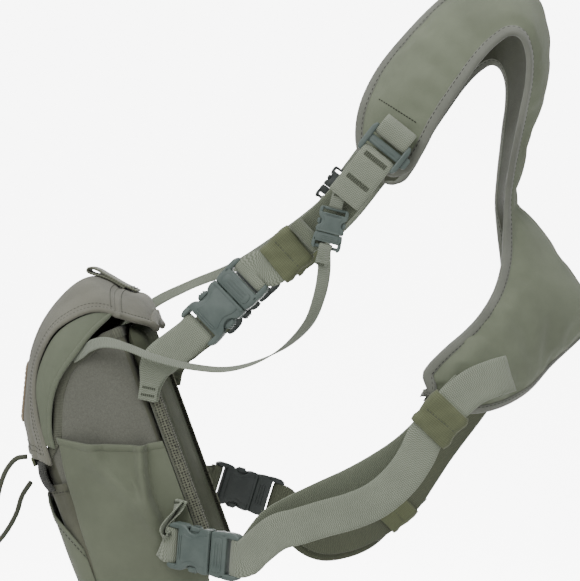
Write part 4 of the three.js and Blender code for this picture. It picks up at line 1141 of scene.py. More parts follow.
def make_harness(name, side):
    flip = np.array([1.0, side * -1.0, 1.0])
    spots_a, spots_b = end_spots(78, start=True), end_spots(58, finish=True)
    edge_a = rail(np.array(ARMHOLE) * flip, YOKE_ARMHOLE[name], spots_a, spots_b)
    edge_b = rail(np.array(NECK) * flip, YOKE_LOWER[name], spots_a, spots_b)
    rows, cols, joint = len(edge_a), 25, len(spots_a) - 1
    share = np.linspace(0, 1, cols)
    middle = (edge_a + edge_b) / 2
    run = lengths(middle)
    span = np.linalg.norm(edge_b - edge_a, axis=1)
    grid = np.zeros((rows, cols, 3))
    for r in range(rows):
        wrap = 1 + 0.8 * ease((r - joint) / 10)
        near_end = min(run[r], run[-1] - run[r])
        radius = 10.0 if run[r] < run[-1] / 2 else 13.0
        pull = (radius - math.sqrt(max(radius ** 2 - (radius - min(radius, near_end)) ** 2, 0))) / span[r]
        v = pull + share * (1 - 2 * pull)
        grid[r] = edge_a[r] * (1 - v[:, None]) + edge_b[r] * v[:, None]
        grid[r, :, 0] = edge_a[r, 0] + (edge_b[r, 0] - edge_a[r, 0]) * (1 - np.clip(1 - v, 0, 1) ** wrap)
    # the spine: from the V of the neck to the yoke's lowest point the two sides meet
    spine_end = int(np.argmin(np.linalg.norm(edge_b - np.array(YOKE_LOWER[name][3]), axis=1)))
    normal = grid_normals(grid, TORSO)
    dome = 4 * share * (1 - share)
    grid = grid + normal * (2.0 * dome)[None, :, None]
    normal = grid_normals(grid, TORSO)
    from_a = np.concatenate([np.zeros((rows, 1)), np.cumsum(np.linalg.norm(np.diff(grid, axis=1), axis=2), 1)],
                            1)
    from_b = from_a[:, -1:] - from_a
    open_ = ease((np.arange(rows) - joint) / 5) * ease((spine_end - np.arange(rows)) / 5)
    from_b = from_b + 60 * open_[:, None]
    from_end = np.minimum(run, run[-1] - run)[:, None]
    inset = np.minimum(np.minimum(from_a, from_b), from_end)
    puffed = ease((inset - BOUND + 0.8) / 12)
    u, v = np.meshgrid(run, share * 60, indexing="ij")
    above = 1.7 + 3.4 * puffed + 0.35 * ripple(u * 0.03, v * 0.05, seed=61 + (side > 0)) * puffed
    # cloth eases into shallow drag lines where the strap bends over the shoulder
    bend = np.exp(-((u - 190) / 60) ** 2)
    above += 0.55 * np.sin(u * 0.33 + v * 0.06) * bend * puffed
    below = 1.7 + 0.3 * puffed
    # the pad's inner face takes the darkened pad cloth: painted shade
    pad = sheet(f"{name}_harness", grid, normal, above, below, [M["pad"], M["pad_inner_shaded"], M["binding"]],
                np.stack([u, from_a], -1))
    n = rows * cols
    sewn = open_[:, None] * (from_a[:, -1:] - from_a < 9) > 0
    held = np.where(((inset < BOUND + 1.2) | sewn).ravel())[0]
    puff(pad, np.concatenate([held, np.arange(n, len(pad.data.vertices))]), 4.0, 2.2, -0.016)
    surface = np.array([p.co for p in pad.data.vertices])[:n].reshape(rows, cols, 3) / MM
    subdivide(pad)
    place_piece(pad, "harness", "padding", f"{name}_shoulder_pad", "back_yoke")

    border = [(r, cols - 1) for r in range(joint + 1, -1, -1)] + [(0, c) for c in range(cols - 2, -1, -1)]
    border += [(r, 0) for r in range(1, rows)] + [(rows - 1, c) for c in range(1, cols)]
    border += [(r, cols - 1) for r in range(rows - 2, spine_end - 2, -1)]
    line = np.array([grid[b] for b in border])
    ups = np.array([normal[b] for b in border])
    inner = np.array([grid[min(max(r, 3), rows - 4), cols // 2] for r, c in border])
    s = lengths(line)
    at = np.linspace(0, s[-1], int(s[-1] / 2.2))
    line = sample(line, at)
    ups = unit(np.stack([np.interp(at, s, ups[:, k]) for k in range(3)], -1))
    inner = np.stack([np.interp(at, s, inner[:, k]) for k in range(3)], -1)
    tangent = unit(np.gradient(line, axis=0))
    inward = unit(np.cross(ups, tangent))
    if np.sum(inward * (inner - line)) < 0:
        inward = -inward
    h = 2.2                     # half the binding's thickness
    section = [(BOUND, h - 0.5), (BOUND - 0.6, h), (BOUND / 2, h + 0.12), (0.9, h - 0.05), (-0.4, h * 0.72),
               (-1.0, 0), (-0.4, -h * 0.72), (0.9, -h + 0.05), (BOUND / 2, -h - 0.12), (BOUND - 0.6, -h),
               (BOUND, -h + 0.5)]
    band = tube_along(f"{name}_binding", line, inward, ups, section, [M["edging"]])
    place_piece(band, "harness", "padding")
    stitches(f"{name}_binding_stitches", [(line + inward * (BOUND - 1.3) + ups * (h - 0.1), ups),
                                          (line + inward * (BOUND - 1.3) - ups * (h - 0.1), -ups)],
             M["thread_dark"], "harness", "padding", 2.2, 1.5, 0.3)
    runs = []
    for back in (44, 46.5):
        row = int(np.argmin(np.abs(run - back)))
        keep = slice(5, cols - 6)
        runs.append((surface[row, keep] + normal[row, keep] * 0.15, normal[row, keep]))
    stitches(f"{name}_pad_bartack", runs, M["thread_dark"], "harness", "padding", 1.6, 0.7, 0.36)


for name, side in SIDES:
    make_harness(name, side)


def make_spine():
    """A seam tape down the yoke's middle, where its two halves are sewn together."""
    line = smooth_line([(9, 0, -143), (24, 0, -159), (43, 0, -185), (62, 0, -212), (71, 0, -225.5)], 44)
    tangent = unit(np.gradient(line, axis=0))
    normal = unit(np.cross(tangent, [0, 1.0, 0]))
    if normal[10, 0] < 0:
        normal = -normal
    cols = np.linspace(-6, 6, 9)
    # the inner tape takes the darkened pad cloth: painted shade
    for label, lift, mat in (("outer", 6.1, "binding"), ("inner", -3.0, "pad_inner_shaded")):
        droop = -np.abs(cols) * 0.32
        g = line[:, None] + normal[:, None] * (lift + droop[None, :, None] * (1 if lift > 0 else 0.4)) \
            + np.array([0, 1.0, 0]) * cols[None, :, None]
        n = np.broadcast_to(normal[:, None] * (1 if lift > 0 else -1), g.shape)
        tape = sheet(f"spine_tape_{label}", g, n, 0.5, 0.6, [M[mat]])
        place_piece(tape, "harness", "padding")
        if lift > 0:
            stitches("spine_stitches", [(g[:, 1] + n[:, 1] * 0.5, n[:, 1]),
                                        (g[:, -2] + n[:, -2] * 0.5, n[:, -2])],
                     M["thread_dark"], "harness", "padding", 2.2, 1.5, 0.3)


make_spine()

# ---- plates and buckles --------------------------------------------------------------------------


class Place:
    """A part's own frame: x along it, z out of its face."""

    def __init__(self, origin, x, z, scale=(1, 1, 1)):
        self.origin = np.array(origin, float)
        self.x = unit(x)
        z = np.array(z, float)
        self.z = unit(z - self.x * np.dot(z, self.x))
        self.y = np.cross(self.z, self.x)
        self.scale = np.array(scale, float)

    def __call__(self, points):
        p = np.asarray(points, float) * self.scale
        return self.origin + p[..., :1] * self.x + p[..., 1:2] * self.y + p[..., 2:] * self.z

    def point(self, px, py, pz):
        return self([px, py, pz])


def fillet(points, radius, steps=4):
    """A closed outline with rounded corners; radius is one number or one for each corner."""
    p = np.asarray(points, float)
    out = []
    for i in range(len(p)):
        a, b, c = p[i - 1], p[i], p[(i + 1) % len(p)]
        r = radius[i] if hasattr(radius, "__len__") else radius
        r = min(r, 0.48 * np.linalg.norm(a - b), 0.48 * np.linalg.norm(c - b))
        s, e = b + unit(a - b) * r, b + unit(c - b) * r
        for t in np.linspace(0, 1, steps + 1):
            out.append((1 - t) ** 2 * s + 2 * t * (1 - t) * b + t * t * e)
    return np.array(out)


def plate(outlines, z0, z1, bevel=0.5):
    """Vertices and faces of a plate with rounded edges, from its outlines."""
    curve = bpy.data.curves.new("plate", "CURVE")
    curve.dimensions = "2D"
    curve.fill_mode = "BOTH"
    bevel = min(bevel, (z1 - z0) / 2 - 0.05)
    curve.extrude = (z1 - z0) / 2 - bevel
    curve.bevel_depth = bevel
    curve.bevel_resolution = 2
    curve.offset = -bevel
    for outline in outlines:
        spline = curve.splines.new("POLY")
        spline.points.add(len(outline) - 1)
        for point, (x, y) in zip(spline.points, outline):
            point.co = (x, y, 0, 1)
        spline.use_cyclic_u = True
    obj = bpy.data.objects.new("plate", curve)
    bpy.context.scene.collection.objects.link(obj)
    mesh = bpy.data.meshes.new_from_object(obj.evaluated_get(bpy.context.evaluated_depsgraph_get()))
    verts = np.array([v.co for v in mesh.vertices]) + [0, 0, (z0 + z1) / 2]
    faces = [list(p.vertices) for p in mesh.polygons]
    # weld the cap and side vertices that share a place
    key = {}
    remap = [key.setdefault(tuple(np.round(v, 4)), len(key)) for v in verts]
    welded = np.array(list(key.keys()))
    clean = []
    for face in faces:
        f = [remap[k] for k in face]
        f = [k for i, k in enumerate(f) if k != f[i - 1]]
        if len(set(f)) >= 3:
            clean.append(f)
    bpy.data.objects.remove(obj)
    bpy.data.curves.remove(curve)
    bpy.data.meshes.remove(mesh)
    return welded, clean


def plates(*rows):
    """Plates from rows of outline, lower face, upper face and bevel."""
    return [plate([outline], low, high, bevel) for outline, low, high, bevel in rows]


def rect(x0, x1, y0, y1, radius=1.0):
    """A rectangle with rounded corners."""
    return fillet([(x0, y0), (x1, y0), (x1, y1), (x0, y1)], radius)


def assemble(name, place, parts, mat, body, *nodes):
    """One moulded piece from its plates, set in its place."""
    verts, faces = [], []
    count = 0
    for v, f in parts:
        verts.append(v)
        faces += [[k + count for k in face] for face in f]
        count += len(v)
    points = place(np.vstack(verts))
    obj = build(name, points, faces, [mat], None, np.vstack(verts)[:, :2])
    obj.data.update()
    obj.data.set_sharp_from_angle(angle=math.radians(38))
    place_piece(obj, body, "plastic", *nodes)


def mirrored(points):
    """An outline from its upper half: the points, then the same ones below the x axis in reverse."""
    return list(points) + [(x, -y) for x, y in reversed(points)]


WAIST = [(0, 16.0), (-4.5, 16.6), (-8.6, 15.4), (-10.6, 12.2), (-14.5, 11.3), (-18.0, 12.2), (-20.6, 15.2),
         (-24, 16.8)]


def female_parts():
    """The buckle's socket: two faces, ears, the webbing bar and small ribs."""
    face = fillet(mirrored(WAIST + [(-27.8, 16.6)]), 2.2)
    inner = fillet(mirrored([(-1.5, 11.5), (-8.5, 10.6), (-13.5, 8.2), (-19, 9.0), (-24, 11.5)]), 3)
    parts = plates((face, 2.6, 4.7, 0.9), (face, -4.7, -2.6, 0.9), (inner, 4.4, 5.15, 0.35),
                   (inner, -5.15, -4.4, 0.35))
    for s in (-1, 1):
        ear = fillet([(-36.2, s * 12.9), (-36.6, s * 15.2), (-33, s * 17.0), (-26, s * 17.0), (-21.5, s * 15.8),
                      (-21.5, s * 13.0)], 1.5)
        cheek = fillet([(-8, s * 13.4), (-8, s * 15.6), (-0.2, s * 16.2), (-0.2, s * 13.6)], 0.6)
        parts += plates((ear, -4.4, 4.4, 1.2), (cheek, -3.0, 3.0, 0.4))
    parts += plates((rect(-36.7, -32.3, -14, 14), -1.9, 1.9, 1.3),
                    (rect(-28.0, -24.0, -14.5, 14.5), -3.2, 3.2, 0.5))
    for x in (-26.6, -24.9):
        parts += plates((rect(x - 0.45, x + 0.45, -9, 9, 0.4), 4.6, 5.2, 0.25))
    lip = rect(-2.6, -0.2, -14.6, 14.6, 0.8)
    return parts + plates((lip, 4.3, 5.3, 0.4), (lip, -5.3, -4.3, 0.4))


def male_parts():
    """The buckle's plug without its spring arms."""
    base = fillet(mirrored([(14.0, 16.2), (8, 16.9), (3, 16.2), (0.4, 15.6)]), 1.8)
    parts = [plate([base], -3.9, 3.9, 1.2)]
    for s in (-1, 1):
        parts.append(plate([fillet([(9, s * 13.2), (9, s * 16.4), (15, s * 17.2), (21, s * 17.0),
                                    (24.4, s * 15.0),
                                    (24.4, s * 12.6)], 2.0)], -3.9, 3.9, 1.2))
    pad = fillet(mirrored([(10.8, 12.0), (6, 12.8), (2.6, 11.6)]), 2.5)
    parts += plates((rect(18.2, 23.0, -14, 14), -1.9, 1.9, 1.3), (rect(-20, 2, -3.4, 3.4, 1.4), -2.2, 2.2, 0.7),
                    (pad, 3.6, 4.5, 0.4))
    for x in (4.6, 6.9, 9.2):
        rib = rect(x - 0.5, x + 0.5, -8.5, 8.5, 0.4)
        parts += plates((rib, 4.3, 4.9, 0.25), (rib, -4.4, -3.7, 0.25))
    return parts


def prong_parts(side):
    """One spring arm with its ribbed button."""
    arm = [(0.2, 9), (-16, 8), (-22, 8.6), (-22, 10.6), (-19.6, 12.6), (-18.6, 15.6), (-17.2, 16.6),
           (-11, 16.0),
           (-9.3, 14.6), (-8.6, 12.4), (0.2, 12.4)]
    outline = fillet([(x, side * y) for x, y in arm], 0.8)
    button = fillet([(x, side * y) for x, y in [(-18.3, 12.9), (-17.6, 16.7), (-11, 16.2), (-9.6, 12.9)]], 1.2)
    parts = [plate([outline], -2.3, 2.3, 0.5), plate([button], -3.1, 3.1, 0.8)]
    for x in (-16.2, -14.2, -12.2):
        parts.append(plate([fillet([(x - 0.45, side * 14.4), (x + 0.45, side * 14.4), (x + 0.45, side * 17.1),
                                    (x - 0.45, side * 17.1)], 0.3)], -2.4, 2.4, 0.3))
    return parts


SMALL = (0.5, 0.62, 0.72)
BUCKLES = {
    "left_tether": Place((-127.4, -109.5, -161.3), (-0.25, 0, -0.97), (0, -1, 0), SMALL),
    "right_tether": Place((-129.6, 124, -125), (-0.58, 0, -0.81), (0, 1, 0), SMALL),
    "left_lower": Place((-211, -110.6, -390), (0.86, -0.49, -0.09), (-0.49, -0.87, 0)),
    "right_lower": Place((-196, 102.3, -374), (0.886, 0.342, -0.311), (-0.34, 0.93, 0)),
}
LOCKS, FRONT_KEEPERS = {}, {}
for name, side in SIDES:
    BUCKLES[f"{name}_upper"] = Place((-199, 90 * side, -206.5), (0.7, 0.07 * side, 0.71),
                                     (-0.12, 0.98 * side, 0.12))
    LOCKS[name] = Place((-88, 114 * side, -101), (0.62, 0, 0.78), (0, side, 0))
    FRONT_KEEPERS[name] = Place((-158, 96.5 * side, -176), (0.73, 0.03 * side, 0.69), (0, side, 0))
SIDE_KEEPERS = {"left": Place((-49.5, -148, -290), (0.64, -0.08, 0.77), (0, -1, 0)),
                "right": Place((-79, 129, -391), (0.76, 0, 0.65), (0, 1, 0))}

for name, spot in BUCKLES.items():
    # the far (right) side's buckles take the darker plastic: painted shade
    tone = M["plastic_far_shade"] if name.startswith("right") else M["plastic"]
    assemble(f"{name}_female", spot, female_parts(), tone, "harness", f"{name}_buckle_female")
    assemble(f"{name}_male_half", spot, male_parts(), tone, f"{name}_male", f"{name}_buckle_male")
    for letter, turn in (("a", 1), ("b", -1)):
        assemble(f"{name}_spring_{letter}", spot, prong_parts(turn), tone, f"{name}_prong_{letter}",
                 f"{name}_buckle_prong_{letter}")


def lock_parts():
    """The ladder lock: two cheeks, three bars and a lifting tab."""
    parts = []
    for s in (-1, 1):
        parts.append(plate([fillet([(-11.2, s * 12.9), (-11.4, s * 15.2), (-8, s * 16.9), (8, s * 16.9),
                                    (11.4, s * 15.2), (11.2, s * 12.9)], 1.5)], -3.1, 3.1, 1.0))
    for x0, x1 in ((-11.4, -7.4), (-3.2, 3.2), (7.4, 11.4)):
        parts += plates((rect(x0, x1, -14, 14), -1.9, 1.9, 1.3))
    parts += plates((fillet([(-5, -16), (-4, -20.6), (4, -20.6), (5, -16)], 1.8), -0.4, 1.6, 0.8))
    for x in (-1.8, 0, 1.8):
        parts += plates((rect(x - 0.4, x + 0.4, -11.5, 11.5, 0.35), 1.3, 2.0, 0.25))
    return parts


for name, side in SIDES:
    # the far (right) lock takes the darker plastic: painted shade
    assemble(f"{name}_lock", LOCKS[name], lock_parts(), M["plastic_far_shade"] if side > 0 else M["plastic"],
             f"{name}_ladder_lock", f"{name}_ladder_lock")


def make_keeper(name, spot, body, node):
    """Elastic sleeve that hugs the layers of webbing, pinched at its middle seam."""
    half_y, half_z, corner = 14.6, 4.1, 3.6
    loop = []
    for cy, cz, a0 in ((half_y - corner, half_z - corner, 0), (-half_y + corner, half_z - corner, 90),
                       (-half_y + corner, -half_z + corner, 180), (half_y - corner, -half_z + corner, 270)):
        for a in np.radians(np.linspace(a0, a0 + 90, 7)):
            loop.append((cy + corner * math.cos(a), cz + corner * math.sin(a), math.cos(a), math.sin(a)))
    points = []
    for i, p in enumerate(loop):
        q = loop[(i + 1) % len(loop)]
        points.append(p)
        gap = math.hypot(q[0] - p[0], q[1] - p[1])
        for k in range(1, int(gap / 2.4)):
            t = k / int(gap / 2.4)
            points.append(tuple(p[j] + (q[j] - p[j]) * t for j in range(4)))
    points = np.array(points)
    stations = np.linspace(-13.5, 13.5, 21)
    m = len(points)
    verts, uv = [], []
    around = lengths(points[:, :2])
    for layer in (1.5, 0.0):
        for x in stations:
            pinch = -0.75 * math.exp(-(x / 2.0) ** 2) + 0.35 * math.cos(x * 0.7) - 0.5 * (abs(x) / 13.5) ** 6
            wave = 0.4 * np.sin(points[:, 0] * 0.5 + x * 0.35) + 0.3 * ripple(points[:, 0] * 0.2,
                                                                              x * 0.3 + 0 * around,
                                                                            seed=71)
            off = layer + pinch + wave
            slant = x + 0.8 * np.sin(points[:, 0] * 0.12) * (abs(x) / 13.5) ** 3
            verts.append(np.stack([slant, points[:, 0] + points[:, 2] * off, points[:, 1] + points[:, 3] * off],
                                  -1))
            uv.append(np.stack([x + 0 * around, around], -1))
    k = len(stations)
    faces = []
    for i in range(k - 1):
        for j in range(m):
            n = (j + 1) % m
            faces.append([i * m + j, i * m + n, (i + 1) * m + n, (i + 1) * m + j][::-1])
            faces.append([(k + i) * m + j, (k + i) * m + n, (k + i + 1) * m + n, (k + i + 1) * m + j])
    for j in range(m):
        n = (j + 1) % m
        faces.append([j, n, k * m + n, k * m + j])
        faces.append([(k - 1) * m + j, (k - 1) * m + n, (2 * k - 1) * m + n, (2 * k - 1) * m + j][::-1])
    obj = build(name, spot(np.vstack(verts)), faces, [M["elastic"]], None, np.vstack(uv))
    place_piece(obj, body, "elastic", node)
    ys = np.linspace(-12.5, 12.5, 20)
    for label, z in (("outer", 1), ("inner", -1)):
        line = spot(np.stack([0 * ys, ys, z * (half_z + 1.5 - 0.55) + 0 * ys], -1))
        stitches(f"{name}_stitches_{label}", [(line, np.broadcast_to(spot.z * z, line.shape))], M["thread"],
                 body, "elastic", 1.7, 0.8, 0.34, 0.25)


for name, side in SIDES:
    make_keeper(f"{name}_front_sleeve", FRONT_KEEPERS[name], f"{name}_front_keeper", f"{name}_front_keeper")
    make_keeper(f"{name}_side_sleeve", SIDE_KEEPERS[name], f"{name}_side_keeper", f"{name}_side_keeper")

# ---- webbing -------------------------------------------------------------------------------------

FEMALE_BAR, MALE_BAR, LOCK_BAR = -34.4, 20.4, 9.4


# A strap's stops are its points, each with the direction of its width there, or None to leave that free.


def around_bar(spot, bar, towards, face):
    """Stops that wrap a strap round a bar and come back."""
    stops = [(6.6, 3.1), (1.6, 3.0), (-1, 2.8), (-4, 0), (-1, -2.8), (1.6, -3.0), (6.6, -3.1)]
    return [(spot.point(bar + towards * out, 0, face * high), spot.y) for out, high in stops]


def through_sleeve(spot, direction, face):
    """Stops that take a strap straight through a keeper."""
    return [(spot.point(direction * x, 0, face * 2.0), spot.y) for x in (-15, 0, 15)]


def free(*points):
    """Stops where the strap may turn as it likes."""
    return [(np.array(p, float), None) for p in points]


def strap_grid(stops, width, step=1.8, cols=9, seed=0):
    """The strap as a grid across its width, from stops that are points with or without a width direction."""
    points = np.array([p for p, _ in stops], float)
    keyed = [(i, d) for i, (_, d) in enumerate(stops) if d is not None]
    line, place = dense_line(points)
    s = lengths(line)
    at = np.linspace(0, s[-1], max(10, int(s[-1] / step)))
    centre = sample(line, at)
    spot = np.interp(at, s, place)
    wide = np.stack([np.interp(spot, [k for k, _ in keyed], [float(d[j]) for _, d in keyed]) for j in range(3)],
                    -1)
    tangent = unit(np.gradient(centre, axis=0))
    wide = unit(wide - tangent * np.sum(wide * tangent, -1, keepdims=True))
    normal = unit(np.cross(tangent, wide))
    across = np.linspace(-1, 1, cols)
    across = np.sign(across) * np.abs(across) ** 0.85
    spread_ = width(at / s[-1]) if callable(width) else np.full(len(at), float(width))
    cup = 0.25 * ripple(at * 0.03, seed=seed + 81)[:, None] * (across[None] ** 2 - 0.4) * 1.6
    grid = centre[:, None] + wide[:, None] * (across[None, :, None] * spread_[:, None, None] / 2) \
        + normal[:, None] * cup[..., None]
    normals = np.broadcast_to(normal[:, None], grid.shape)
    uv = np.stack([np.broadcast_to(at[:, None], grid.shape[:2]), across[None] * spread_[:, None] / 2], -1)
    return grid, normals, uv, at


def strap(name, stops, mats, width=25.0, thick=1.5, body="harness", nodes=(), blend=None, bars=(),
          slot="webbing",
          bar_faces=(1,)):
    """A webbing strap along its stops; bars are the places along it, in mm, of sewn bar tacks."""
    grid, normals, uv, at = strap_grid(stops, width, seed=len(name))
    cols = grid.shape[1]
    ends = np.linspace(-1, 1, cols)
    swell = thick / 2 * (1 - 0.35 * np.abs(ends) ** 6)
    obj = sheet(name, grid, normals, swell, swell, mats, uv, 0.9)
    place_piece(obj, None if blend else body, slot, *nodes)
    if blend:
        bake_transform(obj)
    runs = []
    for place in bars:
        row = int(np.argmin(np.abs(at - (place if place >= 0 else at[-1] + place))))
        for face in bar_faces:
            for shift in (-0.45, 0.45):
                line = grid[row] + unit(grid[min(row + 1, len(at) - 1)] - grid[row - 1]) * shift \
                    + normals[row] * face * thick / 2
                runs.append((line[1:-1], normals[row][1:-1] * face))
    if runs:
        stitches(name + "_bartacks", runs, M["thread"], body, slot, 1.2, 0.25, 0.42, 0.12)


# SHADED_INSIDE draws a strap's inner face in the darker webbing: painted shade
SAGE, SHADED_INSIDE = [M["webbing"]], [M["webbing"], M["webbing_inner_shade"], M["webbing"]]

for name, side in SIDES:
    upper, lock, keeper = BUCKLES[f"{name}_upper"], LOCKS[name], FRONT_KEEPERS[name]
    sewn = np.array([0.71 * side, 0, -0.7 * side])
    anchor = [(np.array([-259.5, 81.0 * side, -283.0]), sewn), (np.array([-257, 80.4 * side, -270.0]), sewn),
              (np.array([-252, 82 * side, -256.0]), None)] + around_bar(upper, FEMALE_BAR, -1, -1)
    anchor += [(np.array([-254.0, 87.2 * side, -257]), None), (np.array([-258.5, 84.4 * side, -270]), sewn),
               (np.array([-261.0, 82.8 * side, -283.0]), sewn)]
    # the far (right) loop takes the darker webbing: painted shade
    strap(f"{name}_upper_loop", anchor, SAGE if side < 0 else [M["webbing_far_shade"]],
          nodes=[f"{name}_upper_anchor"],
          bars=(3, 9, -3, -9), bar_faces=(1, -1),
          width=lambda t: 25 - 12 * ease((np.abs(2 * t - 1) - 0.55) / 0.35))
    curl = []
    for k, angle in enumerate(np.radians(np.arange(-60, 430, 35))):
        radius = 5.6 - 0.21 * k
        curl.append((keeper.point(19.5 + radius * math.cos(angle), 0, 7.4 + radius * math.sin(angle)),
                     keeper.y))
    front = [(np.array([-117, 115 * side, -137.0]), lock.y)] + around_bar(lock, -LOCK_BAR, -1, 1)
    front += free((-118, 102 * side, -139), (-134, 98 * side, -155)) + through_sleeve(keeper, -1, -1)
    front += around_bar(upper, MALE_BAR, 1, -1) + through_sleeve(keeper, 1, 1) + curl
    strap(f"{name}_front_strap", front, SHADED_INSIDE, nodes=[f"{name}_front_webbing"],
          blend=("harness", f"{name}_upper_male", metres((-140, 98 * side, -158)),
                 metres(upper.point(24, 0, 0))), bars=(14, 17, 34, 37), bar_faces=(1, -1))
    on_pad = [(lock.point(20.5, 0, -1.2), lock.y)] \
        + around_bar(lock, LOCK_BAR, 1, 1) + [(lock.point(20, 0, -3.8), lock.y)]
    strap(f"{name}_pad_strap", on_pad, SAGE, nodes=[f"{name}_pad_webbing"])

TETHER_ROUTES = {
    "left": ([(-131, -108, -188), (-134, -107, -205), (-142, -107, -225), (-160, -107, -243),
              (-181, -106, -254),
              (-202, -104, -259), (-228, -102, -257), (-254, -98, -251), (-276, -96, -243), (-291, -92, -240.5),
              (-301, -87, -243), (-307, -82.5, -247), (-316, -80.2, -252)],
             {0: (0.97, 0, -0.25), 2: (0.75, 0.6, -0.1), 4: (0.25, 0.92, 0.3), 8: (0.1, 0.85, 0.5),
              10: (0.1, 0.25, 0.95),
              12: (0.5, 0, 0.87)}, (-142, -107, -225)),
    "right": ([(-150, 122, -147), (-180, 113, -169), (-212, 104, -189), (-246, 98, -203), (-276, 94, -218),
               (-292, 90, -232), (-301, 86, -242), (-307, 82, -249), (-316, 80.2, -255)],
              {0: (-0.7, 0, 0.7), 3: (-0.4, 0.6, 0.7), 5: (-0.4, 0.2, 0.89), 8: (-0.6, 0, 0.8)},
              (-180, 113, -169)),
}
for name, side in SIDES:
    small = BUCKLES[f"{name}_tether"]
    route, widths, settled = TETHER_ROUTES[name]
    start = [(small.point(x, 0, z), small.y) for x, z in ((16.3, 0), (16.9, 2.6), (19.5, 3.7), (26, 3.4))]
    stops = start + [(np.array(p, float), np.array(widths[i], float) if i in widths else None)
                     for i, p in enumerate(route)]
    strap(f"{name}_tether_tape", stops, [M["tether"]], 8.8, 1.1, nodes=[f"{name}_tether_strap"],
          blend=("harness", f"{name}_tether_male", metres(settled),
                 metres(small.point(30, 0, 0))))
    # the tether's other layer is sewn back on itself below the small buckle
    back = [(small.point(x, 0, z), small.y) for x, z in ((16.3, -0.2), (16.9, -2.6), (19.5, -3.4), (26, -2.2),
                                                         (36, 0.4), (46, 1.0))]
    strap(f"{name}_tether_fold", back, [M["tether"]], 8.6, 1.1, body=f"{name}_tether_male", bars=(12, 17))
    hold = [(small.point(x, 0, z), small.y) for x,
            z in ((-78, 5.5), (-70, 4.4), (-60, 3.9), (-50, 3.8), (-40, 3.4),
                                                         (-37, 1.8), (-37.4, -1.2), (-42, -3.0), (-52, -3.4))]
    strap(f"{name}_tether_base", hold, [M["tether"]], 8.8, 1.1, bars=(7, 12))

sleeve, buckle = SIDE_KEEPERS["left"], BUCKLES["left_lower"]
LEFT_SIDE = [(np.array([-30, -141.5, -269.0]), sleeve.y)] + through_sleeve(sleeve, -1, -1)
LEFT_SIDE += free((-73, -140, -315), (-90, -136.5, -327), (-109, -134, -338), (-130, -132, -348),
                  (-150, -130, -358),
                  (-166, -128, -368)) + around_bar(buckle, MALE_BAR, 1, -1)
LEFT_SIDE += free((-163, -139, -371), (-148, -143, -366), (-130, -146, -360), (-110, -148, -354),
                  (-93, -149, -346),
                  (-77, -149.5, -332), (-66, -149.5, -316)) + through_sleeve(sleeve, 1, 1)
LEFT_SIDE += free((-26, -146.5, -267.5), (-12, -140.5, -262))
LEFT_SIDE += [(np.array(p, float), np.array(d, float)) for p, d in (
    ((-1.5, -133.5, -259.5), (-0.3, 0, 0.95)), ((0, -130.5, -259.5), (-0.3, 0, 0.95)),
    ((-3.5, -129, -260.5), (-0.3, 0, 0.95)), ((-13, -132, -264.5), (-0.4, 0, 0.9)))]
strap("left_side_strap", LEFT_SIDE, SHADED_INSIDE, nodes=["left_side_webbing"],
      blend=("harness", "left_lower_male", metres((-96, -142, -336)),
             metres(buckle.point(26, 0, 0))))
sleeve, buckle = SIDE_KEEPERS["right"], BUCKLES["right_lower"]
RIGHT_SIDE = [(np.array([-8, 125, -296.0]), np.array([0.82, 0, -0.57]))]
RIGHT_SIDE += free((-18, 125, -310), (-30, 126, -326), (-43, 126.5, -344), (-54, 126.5, -361))
RIGHT_SIDE += through_sleeve(sleeve, -1, -1) + free((-104, 126, -408), (-120, 125.5, -414), (-137, 122.5, -415),
                                               (-152, 118.5, -407)) + around_bar(buckle, MALE_BAR, 1, -1)
RIGHT_SIDE += free((-155, 126, -413), (-139, 130, -422), (-120, 132, -420), (-104, 132, -413))
RIGHT_SIDE += through_sleeve(sleeve, 1, 1) + [(np.array([-60, 132, -374.0]), None)]
# the far side strap is drawn in the darker webbing: painted shade
strap("right_side_strap", RIGHT_SIDE, [M["webbing_far_shade"]], nodes=["right_side_webbing"],
      blend=("harness", "right_lower_male", metres((-112, 128, -415)),
             metres(buckle.point(26, 0, 0))))

# the far (right) tab takes the darker webbing: painted shade
for name, low, high, mat in (("left", (-241, -81.5, -364), (-233, -80.5, -349), "webbing"),
                             ("right", (-239, 80.5, -360), (-236, 80.5, -346), "webbing_far_shade")):
    buckle = BUCKLES[f"{name}_lower"]
    low, high = np.array(low, float), np.array(high, float)
    seam, across = (low + high) / 2, unit(high - low)
    if np.dot(across, buckle.y) < 0:
        across = -across
    stops = [(seam, across)] + around_bar(buckle, FEMALE_BAR, -1, -1) + [(seam + buckle.z * 1.8, across)]
    strap(f"{name}_lower_tab", stops, [M[mat]], lambda t: 13 + 12 * ease(1 - (np.abs(2 * t - 1) - 0.35) / 0.6),
          nodes=[f"{name}_lower_anchor"], bars=(2.5, -2.5), bar_faces=(1, -1))

# ---- studio --------------------------------------------------------------------------------------


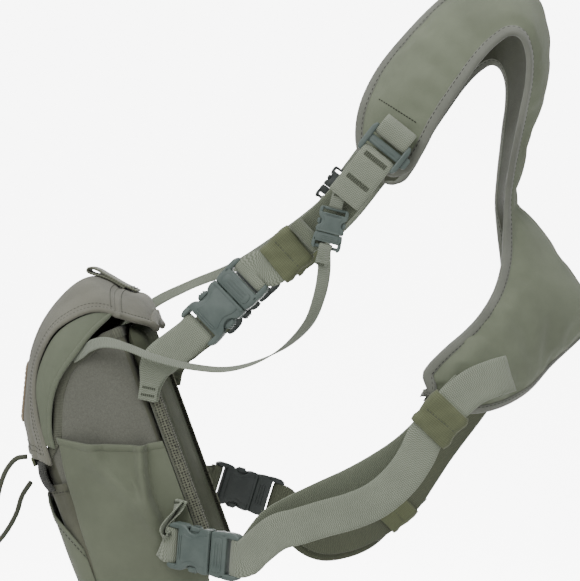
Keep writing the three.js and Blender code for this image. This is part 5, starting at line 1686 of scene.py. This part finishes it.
def emitting(name, strength):
    """Evenly lit paper for the wall behind the object."""
    s = Shader(name)
    soft = s.noise(2.0, 2.0)
    pale = s.mix(soft, srgb(248, 248, 247), srgb(252, 252, 252))
    material = s.finish(pale, 0.9, s.bump(soft, 0.0005, 0.1), 0.0, 0.2)
    shader = next(n for n in s.tree.nodes if n.type == "BSDF_PRINCIPLED")
    shader.inputs["Emission Color"].default_value = (1.0, 1.0, 1.0, 1.0)
    shader.inputs["Emission Strength"].default_value = strength
    return material


def make_stage():
    s = Shader("studio_floor")
    soft = s.noise(3.0, 2.0)
    pale = s.mix(soft, srgb(240, 240, 238), srgb(246, 246, 245))
    material = s.finish(pale, 0.9, s.bump(soft, 0.0005, 0.1), 0.0, 0.2)
    low, back = -900, 2500
    floor = build("floor", [(-4000, -4000, low), (4000, -4000, low), (4000, back, low), (-4000, back, low)],
                  [[0, 1, 2, 3]], [material], smooth=False)
    wall = build("backdrop", [(-900, back, low + 1), (370, back, low + 1), (370, back, 370), (-900, back, 370)],
                 [[0, 1, 2, 3]], [emitting("studio_wall", 7.0)], smooth=False)
    world_ = bpy.data.worlds.new("studio")
    world_.use_nodes = True
    background = world_.node_tree.nodes["Background"]
    background.inputs["Color"].default_value = (1.0, 1.0, 1.0, 1.0)
    background.inputs["Strength"].default_value = 0.5
    bpy.context.scene.world = world_
    for name, spot, size, power in (("key", (-900, -1300, 900), 1.1, 20), ("top", (-100, -200, 1500), 1.4, 16),
                                    ("fill", (1100, -1000, 200), 1.2, 3), ("rim", (300, 1300, 700), 1.4, 3)):
        lamp = bpy.data.objects.new(name, bpy.data.lights.new(name, "AREA"))
        bpy.context.scene.collection.objects.link(lamp)
        lamp.data.size = size
        lamp.data.energy = power
        lamp.location = [v * MM for v in spot]
        aim = np.array([-160, 0, -205]) - np.array(spot)
        pitch = math.atan2(-aim[2], math.hypot(aim[0], aim[1]))
        lamp.rotation_euler = (math.pi / 2 - pitch, 0, math.atan2(aim[1], aim[0]) - math.pi / 2)


make_stage()
